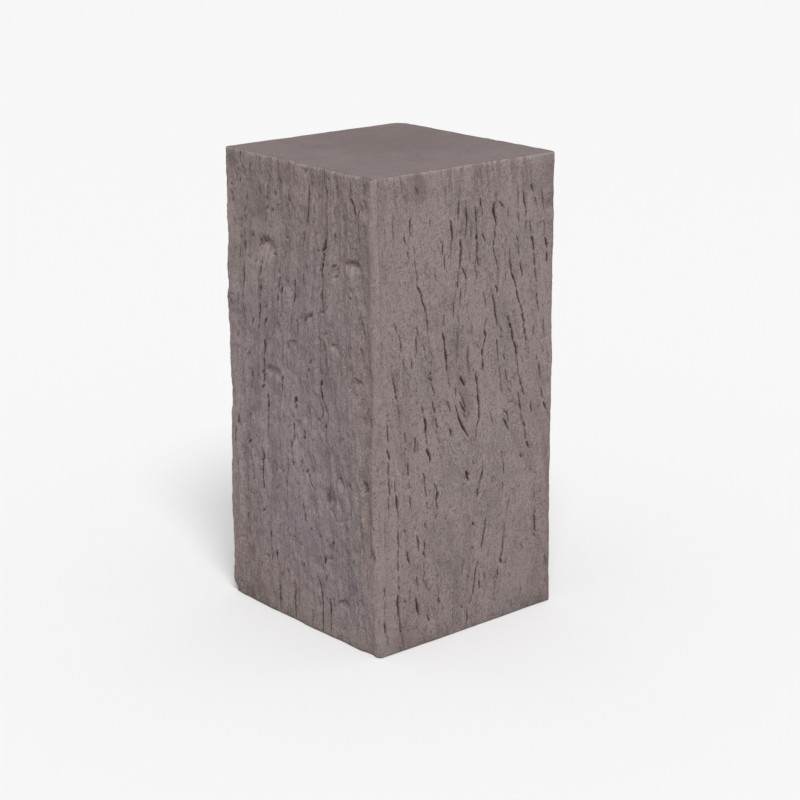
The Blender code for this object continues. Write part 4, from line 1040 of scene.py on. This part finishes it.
class Tree:
    """Short calls that add nodes to a geometry or material tree and return their output sockets."""

    def __init__(self, tree):
        self.tree = tree

    def add(self, kind, inputs=(), output=0, **settings):
        node = self.tree.nodes.new(kind)
        for name, value in settings.items():
            setattr(node, name, value)
        for key, value in dict(inputs).items():
            if isinstance(value, bpy.types.NodeSocket):
                self.tree.links.new(value, node.inputs[key])
            else:
                node.inputs[key].default_value = value
        return node.outputs[output]

    def calc(self, operation, *values):
        return self.add("ShaderNodeMath", enumerate(values), operation=operation)

    def product(self, first, *others):
        for other in others:
            first = self.calc("MULTIPLY", first, other)
        return first

    def off_middle(self, value):
        """Turns a value from 0 to 1 into a swing to both sides of 0."""
        return self.calc("SUBTRACT", value, 0.5)

    def shift(self, operation, *vectors):
        return self.add("ShaderNodeVectorMath", enumerate(vectors), operation=operation)

    def times(self, vector, share):
        return self.add("ShaderNodeVectorMath", {0: vector, "Scale": share}, operation="SCALE")

    def measure(self, operation, first, second):
        return self.add("ShaderNodeVectorMath", {0: first, 1: second}, "Value", operation=operation)

    def noise(self, vector, detail, roughness=0.5, output="Fac"):
        inputs = {"Vector": vector, "Scale": 1.0, "Detail": detail, "Roughness": roughness}
        return self.add("ShaderNodeTexNoise", inputs, output=output)

    def pattern(self, vector, kind, output="Fac"):
        return self.noise(self.shift("MULTIPLY", vector, kind.fineness), kind.detail, kind.roughness, output)

    def fade(self, value, low, high):
        """0 below low and 1 above high, with a smooth step between. Low may be above high."""
        inputs = {"Value": value, "From Min": low, "From Max": high}
        return self.add("ShaderNodeMapRange", inputs, interpolation_type="SMOOTHSTEP")

    def mix(self, share, first, second):
        return self.add("ShaderNodeMix", {0: share, 6: first, 7: second}, output=2, data_type="RGBA")


def attribute(tree, name, kind):
    return tree.add("GeometryNodeInputNamedAttribute", {"Name": name}, data_type=kind)


RELIEF_INPUTS = {
    "Check Depth": "check_depth",
    "Edge Wander": "edge_wander",
    "Rib Depth": "rib_depth",
    "Rib Width": "rib_width",
    "Crease Depth": "crease_depth",
    "Crease Spacing": "crease_width",
    "Lump Depth": "lump_depth",
    "Lump Width": "lump_width",
}


def relief_group():
    """An empty tree with a named input for each size of the relief."""
    group = bpy.data.node_groups.new("weathered relief", "GeometryNodeTree")
    face = group.interface
    face.new_socket("Geometry", in_out="INPUT", socket_type="NodeSocketGeometry")
    face.new_socket("Check Lines", in_out="INPUT", socket_type="NodeSocketObject")
    for name in RELIEF_INPUTS:
        face.new_socket(name, in_out="INPUT", socket_type="NodeSocketFloat")
    face.new_socket("Material", in_out="INPUT", socket_type="NodeSocketMaterial")
    face.new_socket("Geometry", in_out="OUTPUT", socket_type="NodeSocketGeometry")
    return group


def check_cut(tree, given, position, normal):
    """Depth cut by the nearest check, the distance to it in half widths, and its strength.

    It is looked for from a place nudged about along the surface, so that the edges are ragged.
    """
    nudge = tree.shift("SUBTRACT", tree.pattern(position, NUDGES, "Color"), (0.5, 0.5, 0.5))
    nudge = tree.times(nudge, given["Edge Wander"])
    outward = tree.measure("DOT_PRODUCT", nudge, normal)
    nudge = tree.shift("SUBTRACT", nudge, tree.times(normal, outward))
    here = tree.shift("ADD", position, nudge)
    lines = tree.add("GeometryNodeObjectInfo", {"Object": given["Check Lines"]}, output="Geometry")
    target = {0: lines, 2: here}
    distance = tree.add("GeometryNodeProximity", target, output="Distance", target_element="EDGES")
    nearest = {"Geometry": lines, "Sample Position": here}
    index = tree.add("GeometryNodeSampleNearest", nearest, domain="POINT")
    half_width = line_value(tree, lines, index, "half_width")
    strength = line_value(tree, lines, index, "strength")
    share = tree.calc("DIVIDE", distance, half_width)
    groove = tree.fade(share, *GROOVE)
    return tree.product(half_width, given["Check Depth"], 2.0, strength, groove), share, strength


def grain_relief(tree, given, grain, hewn):
    """Depth of ribs, splits and lumps, drawn out along the grain and always inward, with their patterns."""
    rib = tree.noise(stretched(tree, grain, given["Rib Width"], RIB_STRETCH), 2.0)
    ribs = tree.product(tree.fade(rib, *DEEPENING), given["Rib Depth"])
    split = tree.noise(stretched(tree, grain, given["Crease Spacing"], CREASE_STRETCH), 2.0)
    crease = tree.fade(tree.calc("ABSOLUTE", tree.off_middle(split)), CREASE_BAND, 0.0)
    creases = tree.product(crease, given["Crease Depth"])
    lump = tree.noise(stretched(tree, grain, given["Lump Width"], LUMP_STRETCH), 4.0, 0.62)
    lumps = tree.product(tree.fade(lump, *DEEPENING), given["Lump Depth"])
    depth = tree.calc("ADD", tree.calc("ADD", ribs, creases), lumps)
    return tree.product(depth, hewn), rib, crease, lump


def relief_tree():
    """Carves the checks along their lines, then ribs, splits and lumps along the grain.

    What the finish and the thinning read is kept before the points move, because it is worked out from
    where they are.
    """
    group = relief_group()
    tree = Tree(group)
    given = group.nodes.new("NodeGroupInput").outputs
    position = attribute(tree, "place", "FLOAT_VECTOR")
    normal = attribute(tree, "outward", "FLOAT_VECTOR")
    grain = attribute(tree, "grain", "FLOAT_VECTOR")
    side = attribute(tree, "side", "FLOAT")
    hewn = attribute(tree, "hewn", "FLOAT")
    cut, share, strength = check_cut(tree, given, position, normal)
    low, rib, crease, lump = grain_relief(tree, given, grain, hewn)
    kept = {
        "check_share": tree.calc("MINIMUM", share, 4.0),
        "check_strength": tree.product(strength, side),
        "hollow": tree.product(tree.calc("ADD", rib, lump), 0.5),
        "crease": tree.product(crease, hewn, side),
        "carved": tree.calc("ADD", cut, low),
        "thinning": tree.calc("ADD", tree.product(tree.fade(share, 1.4, 3.0), 0.9), 0.1),
    }
    made = given["Geometry"]
    for name, value in kept.items():
        inputs = {"Geometry": made, "Name": name, "Value": value}
        made = tree.add("GeometryNodeStoreNamedAttribute", inputs, data_type="FLOAT", domain="POINT")
    offset = tree.times(normal, tree.product(attribute(tree, "carved", "FLOAT"), -1.0))
    moved = tree.add("GeometryNodeSetPosition", {"Geometry": made, "Offset": offset})
    real = tree.add("GeometryNodeRealizeInstances", {"Geometry": moved})
    finished = tree.add("GeometryNodeSetMaterial", {"Geometry": real, "Material": given["Material"]})
    output = group.nodes.new("NodeGroupOutput")
    group.links.new(finished, output.inputs["Geometry"])
    return group


def line_value(tree, lines, index, name):
    inputs = {"Geometry": lines, "Value": attribute(tree, name, "FLOAT"), "Index": index}
    return tree.add("GeometryNodeSampleIndex", inputs, data_type="FLOAT", domain="POINT")


def stretched(tree, grain, width, ratio):
    """Grain coordinates in units of a width across and a number of widths along."""
    frequency = tree.calc("DIVIDE", 1.0, width)
    return tree.times(tree.shift("MULTIPLY", grain, (1.0, 1.0, 1.0 / ratio)), frequency)


def carve_relief(cast, lines, material, block):
    """Runs the relief over the dense block and thins it to its count of triangles."""
    group = relief_tree()
    step = cast.modifiers.new("weathered relief", "NODES")
    step.node_group = group
    values = {name: getattr(block, setting) for name, setting in RELIEF_INPUTS.items()}
    values.update({"Check Lines": lines, "Material": material})
    for item in group.interface.items_tree:
        if item.in_out == "INPUT" and item.name in values:
            step[item.identifier] = values[item.name]
    cast.data.calc_loop_triangles()

    # The relief stores its thinning values in this group, because both have one name
    thin = cast.modifiers.new("thin", "DECIMATE")
    thin.vertex_group = cast.vertex_groups.new(name="thinning").name
    thin.vertex_group_factor = THINNING_FACTOR
    thin.ratio = min(1.0, block.triangles / len(cast.data.loop_triangles))
    graph = bpy.context.evaluated_depsgraph_get()
    plain = bpy.data.meshes.new_from_object(cast.evaluated_get(graph))
    cast.modifiers.clear()
    cast.data = plain
    normals = np.empty(3 * len(plain.polygons), np.float32)
    plain.polygons.foreach_get("normal", normals)
    plain.polygons.foreach_set("use_smooth", np.abs(normals[2::3]) < FLAT_FACE)


class Skin:
    """The cast skin as it is laid on: its colour so far, and the values that its steps read."""

    def __init__(self, tree, finish):
        self.tree = tree
        self.finish = finish
        self.colour = None
        self.place = tree.add("ShaderNodeTexCoord", output="Object")
        self.height = tree.add("ShaderNodeSeparateXYZ", {"Vector": self.place}, output="Z")
        self.side = tree.fade(self.height, *(HIGH.z - depth for depth in SIDE_ENDS))
        self.hewn = self.stored("hewn")
        lean = tree.shift("SUBTRACT", self.stored("grain", "Vector"), self.place)
        self.grain = tree.shift("ADD", self.place, tree.times(lean, self.side))
        self.clouds = tree.pattern(self.grain, CLOUDS)
        self.streaks = tree.pattern(self.grain, STREAKS)
        self.dashes = tree.pattern(self.grain, DASHES)
        self.crumbs = tree.pattern(self.place, CRUMBS)
        self.speckle = tree.pattern(self.place, SPECKLE)
        self.blots = tree.pattern(self.place, BLOTS)

    def stored(self, name, output="Fac"):
        return self.tree.add("ShaderNodeAttribute", output=output, attribute_name=name)

    def tint(self, colour, amount, *shares):
        """Turns the skin towards a colour, by an amount where the shares are all 1."""
        share = self.tree.product(*shares, amount)
        self.colour = self.tree.mix(share, self.colour, tuple(colour))

    def lay_patches(self):
        """Warm and cool patches, quieter on the flat top, then the stains and blooms, and painted shade
        beside the front arris.
        """
        tree, finish = self.tree, self.finish
        tone = tree.calc("ADD", tree.product(self.clouds, 0.62), tree.product(self.streaks, 0.38))
        calm = tree.calc("ADD", tree.product(self.side, 0.45), 0.55)
        tone = tree.calc("ADD", tree.product(tree.off_middle(tone), calm), 0.5)
        self.colour = tree.mix(tree.fade(tone, 0.28, 0.60), tuple(finish.cool), tuple(finish.warm))
        # Brown stains, with the painted shade in the furrow beside the front arris, and lilac grey blooms
        stain_and_shade = tree.product(self.stored("stain_and_shade"), self.side)
        self.tint(finish.lilac, 0.62, tree.calc("MAXIMUM", tree.product(stain_and_shade, -1.0), 0.0))
        self.tint(finish.brown, 0.60, tree.calc("MAXIMUM", stain_and_shade, 0.0), tree.fade(self.blots, 0.30, 0.60))

    def lay_sand(self):
        """Dark dashes and hairlines along the grain in patches, then dark and pale specks everywhere."""
        tree, finish = self.tree, self.finish
        patchy = tree.fade(self.blots, 0.42, 0.62)
        self.tint(finish.brown, 0.45, tree.fade(self.dashes, 0.60, 0.70), patchy, self.side)
        hairs = tree.calc("ABSOLUTE", tree.off_middle(tree.pattern(self.grain, HAIRS)))
        streaky = tree.fade(self.streaks, 0.50, 0.62)
        self.tint(finish.brown, 0.42, tree.fade(hairs, 0.035, 0.005), streaky, self.side)
        self.tint(finish.brown, 0.38, tree.fade(self.crumbs, 0.48, 0.34))
        self.tint(finish.sand, 0.40, tree.fade(self.crumbs, 0.54, 0.68))
        self.tint(finish.brown, 0.78, tree.fade(self.speckle, 0.43, 0.34))
        self.tint(finish.sand, 0.85, tree.fade(self.speckle, 0.56, 0.65))
        self.tint(finish.sand, 0.25, tree.fade(tree.pattern(self.place, GRIT), 0.60, 0.80))

    def lay_flat_top(self):
        """The flat top is darkened with painted shade, with a broad dull patch right of its middle."""
        tree, finish = self.tree, self.finish
        flat = tree.calc("SUBTRACT", 1.0, self.side)
        dull = tree.measure("DISTANCE", self.place, DULL_MIDDLE)
        dull = tree.calc("ADD", dull, tree.product(tree.off_middle(self.clouds), 0.25))
        # Painted shade: lilac grey and brown keep the flat top, lit from above, no lighter than the sides
        self.tint(finish.lilac, 0.22, flat)
        self.tint(finish.brown, 0.34, flat)
        self.tint(finish.brown, 0.28, tree.fade(dull, 0.19, 0.04), flat)

    def lay_painted_shade_and_highlights(self):
        """Painted shade in hollows, splits and under ledges; painted highlights on up-facing slopes, partly
        as dust, and at the top rim.
        """
        tree, finish = self.tree, self.finish
        # Painted shade: brown in the hollows of the ribs and lumps and in the fine splits
        self.tint(finish.brown, 0.36, tree.fade(self.stored("hollow"), 0.48, 0.66), self.side)
        self.tint(finish.brown, 0.15, self.stored("crease"))
        # Painted light by slope: a pale highlight, partly standing for dust, where the surface faces up, and
        # brown painted shade under ledges where it faces down
        slope = tree.add("ShaderNodeNewGeometry", output="Normal")
        slope = tree.add("ShaderNodeSeparateXYZ", {"Vector": slope}, output="Z")
        self.tint(finish.sand, 0.60, tree.fade(slope, 0.02, 0.40), self.side)
        self.tint(finish.brown, 0.50, tree.fade(slope, -0.02, -0.45), self.side)
        # Painted highlight: a pale band along the sides just under the top rim
        rim = tree.calc("ADD", self.height, tree.product(tree.off_middle(self.blots), 0.006))
        self.tint(finish.sand, 0.30, tree.fade(rim, HIGH.z - 0.006, HIGH.z - 0.002), self.side)

    def lay_runs(self):
        """Brown towards the foot, and brown runs below the top rim."""
        tree, finish = self.tree, self.finish
        self.tint(finish.brown, 0.11, tree.fade(self.height, 0.26, 0.02))
        runs = tree.fade(tree.pattern(self.grain, RUNS), 0.52, 0.64)
        near_rim = tree.fade(self.height, HIGH.z - 0.060, HIGH.z - 0.010)
        self.tint(finish.brown, 0.40, runs, near_rim, self.side)

    def lay_arris(self):
        """The front arris is warmer than the faces, and pinholes beside it are painted as dots of shade."""
        tree, finish = self.tree, self.finish
        off = tree.measure("DISTANCE", tree.shift("MULTIPLY", self.place, (1, 1, 0)), ARRIS_MIDDLE)
        self.tint(finish.warm, 0.40, tree.fade(off, 0.034, 0.006))
        # Painted shade: the pinholes are dark dots, with no holes cut in the mesh
        pinholes = tree.fade(tree.pattern(self.place, PINHOLES), 0.34, 0.27)
        self.tint(finish.crevice_shade, 0.70, pinholes, tree.fade(off, 0.080, 0.030), self.side)

    def lay_checks(self):
        """A ragged core of painted shade in a faint brown edge. Rough faces keep only their strongest checks
        dark.
        """
        tree, finish = self.tree, self.finish
        strength = tree.product(self.stored("check_strength"), self.side)
        dark = tree.calc("POWER", strength, tree.calc("ADD", tree.product(self.hewn, 0.3), 0.7))
        ragged = tree.calc("ADD", self.stored("check_share"), tree.off_middle(self.speckle))
        self.tint(finish.brown, 0.50, tree.fade(ragged, 2.2, 0.6), dark)
        core = tree.fade(tree.calc("SUBTRACT", ragged, tree.product(dark, 0.30)), 0.75, 0.20)
        # Painted shade deep in the checks
        self.tint(finish.crevice_shade, 0.84, core, tree.fade(dark, 0.0, 0.9))

    def bump(self):
        """Sand everywhere, quieter on the flat top, and fibres along the grain of the sides."""
        tree = self.tree
        sand = tree.calc("ADD", tree.product(self.crumbs, 1.6), tree.product(self.speckle, 0.9))
        sand = tree.product(sand, tree.calc("ADD", tree.product(self.side, 0.7), 0.3))
        fibres = tree.calc("SUBTRACT", tree.product(self.streaks, 0.6), tree.fade(self.dashes, 0.58, 0.72))
        quiet = tree.calc("SUBTRACT", 1.0, tree.product(self.hewn, 0.55))
        fibres = tree.product(fibres, self.side, quiet)
        relief = {"Strength": 0.9, "Distance": 0.0018, "Height": tree.calc("ADD", sand, fibres)}
        return tree.add("ShaderNodeBump", relief)


def weathered_cast(finish):
    """Sandy cast skin: warm taupe and bluish grey along the grain, brown in the checks and at the foot, with
    painted shade and painted highlights laid over it.
    """
    material = bpy.data.materials.new("weathered cast")
    material.use_nodes = True
    material.node_tree.nodes.clear()
    tree = Tree(material.node_tree)
    skin = Skin(tree, finish)
    skin.lay_patches()
    skin.lay_sand()
    skin.lay_flat_top()
    skin.lay_painted_shade_and_highlights()
    skin.lay_runs()
    skin.lay_arris()
    skin.lay_checks()
    inputs = {
        "Base Color": skin.colour,
        "Roughness": finish.roughness,
        "Metallic": 0.0,
        "Specular IOR Level": 0.25,
        "Normal": skin.bump(),
    }
    shader = tree.add("ShaderNodeBsdfPrincipled", inputs)
    end = material.node_tree.nodes.new("ShaderNodeOutputMaterial")
    material.node_tree.links.new(shader, end.inputs["Surface"])
    return material


class PEDESTAL_OT_add_block(bpy.types.Operator):
    """Makes the cast block: the hewn form, its checks, dents, ribs and fibres, and its finish"""

    bl_idname = "pedestal.add_block"
    bl_label = "Cast block"

    def execute(self, context):
        block = context.scene.pedestal_block
        grids = {face.name: hewn_grid(face, block) for face in FACES}
        rows_of, grains = {}, {}
        for face in FACES:
            rows = check_rows(face, block)
            lean = lean_grid(face, rows, block)
            rows_of[face.name] = rows + scattered_rows(face, lean, block, block.seed)
            grains[face.name] = grain_grid(face, lean, block)
        material = weathered_cast(context.scene.pedestal_finish)
        lines = make_check_lines(grids, rows_of, block)
        cast = make_dense_block(grids, grains, block)
        carve_relief(cast, lines, material, block)
        bpy.data.objects.remove(lines, do_unlink=True)
        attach(cast, "root")
        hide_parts("timber_block")
        return {"FINISHED"}


def camera_axes(azimuth, elevation):
    """Unit vectors back, right and up of a camera that looks at the block from that angle."""
    turn, rise = math.radians(azimuth), math.radians(elevation)
    back = Vector((math.sin(turn) * math.cos(rise), -math.cos(turn) * math.cos(rise), math.sin(rise)))
    right = Vector((math.cos(turn), math.sin(turn), 0))
    return back, right, back.cross(right)


class PEDESTAL_OT_add_stage(bpy.types.Operator):
    """Makes the plain pale floor, the soft light and the camera"""

    bl_idname = "pedestal.add_stage"
    bl_label = "Stage"

    def execute(self, context):
        stage = context.scene.pedestal_stage
        half = stage.floor_size / 2
        corners = [(-half, -half, 0), (half, -half, 0), (half, half, 0), (-half, half, 0)]
        mesh = bpy.data.meshes.new("floor")
        mesh.from_pydata(corners, [], [(0, 1, 2, 3)])
        floor = bpy.data.objects.new("floor", mesh)
        context.scene.collection.objects.link(floor)
        paint = bpy.data.materials.new("pale floor")
        paint.use_nodes = True
        shader = paint.node_tree.nodes["Principled BSDF"]
        shader.inputs["Base Color"].default_value = tuple(stage.floor_colour)
        shader.inputs["Roughness"].default_value = 0.9
        mesh.materials.append(paint)

        world = bpy.data.worlds.new("room light")
        world.use_nodes = True
        sky = world.node_tree.nodes["Background"]
        sky.inputs["Color"].default_value = (1, 1, 1, 1)
        sky.inputs["Strength"].default_value = stage.sky
        context.scene.world = world
        context.scene.view_settings.view_transform = "Standard"

        height = HIGH.z - LOW.z
        key = bpy.data.lights.new("key", "SUN")
        key.energy = stage.key_strength
        key.angle = math.radians(stage.key_softness)
        lamp = bpy.data.objects.new("key", key)
        back, right, up = camera_axes(stage.key_azimuth, stage.key_elevation)
        lamp.matrix_world = Matrix((right, up, back)).transposed().to_4x4()
        context.scene.collection.objects.link(lamp)

        back, right, up = camera_axes(stage.azimuth, stage.elevation)
        camera = bpy.data.objects.new("camera", bpy.data.cameras.new("camera"))
        camera.data.lens = stage.lens
        place = Vector((0, 0, height / 2)) + back * stage.distance
        place += right * stage.shift_right + up * stage.shift_up
        turned = Matrix((right, up, back)).transposed().to_4x4()
        camera.matrix_world = Matrix.Translation(place) @ turned
        context.scene.collection.objects.link(camera)
        context.scene.camera = camera
        return {"FINISHED"}


class PEDESTAL_PT_panel(bpy.types.Panel):
    """Lists the pieces of the pedestal and its stage"""

    bl_idname = "PEDESTAL_PT_panel"
    bl_label = "Pedestal"
    bl_space_type = "VIEW_3D"
    bl_region_type = "UI"
    bl_category = "Pedestal"

    def draw(self, context):
        for operator in OPERATORS:
            self.layout.operator(operator.bl_idname)
        scene = context.scene
        for settings in (scene.pedestal_block, scene.pedestal_finish, scene.pedestal_stage):
            box = self.layout.box()
            for name in settings.bl_rna.properties.keys():
                if name not in ("rna_type", "name"):
                    box.prop(settings, name)


OPERATORS = (PEDESTAL_OT_add_block, PEDESTAL_OT_add_stage)
CLASSES = (BlockSettings, FinishSettings, StageSettings, *OPERATORS, PEDESTAL_PT_panel)


def register():
    for item in CLASSES:
        bpy.utils.register_class(item)
    bpy.types.Scene.pedestal_block = PointerProperty(type=BlockSettings)
    bpy.types.Scene.pedestal_finish = PointerProperty(type=FinishSettings)
    bpy.types.Scene.pedestal_stage = PointerProperty(type=StageSettings)


def unregister():
    del bpy.types.Scene.pedestal_stage
    del bpy.types.Scene.pedestal_finish
    del bpy.types.Scene.pedestal_block
    for item in reversed(CLASSES):
        bpy.utils.unregister_class(item)


def main():
    register()
    bpy.ops.pedestal.add_stage()
    bpy.ops.pedestal.add_block()


if __name__ == "__main__":
    main()
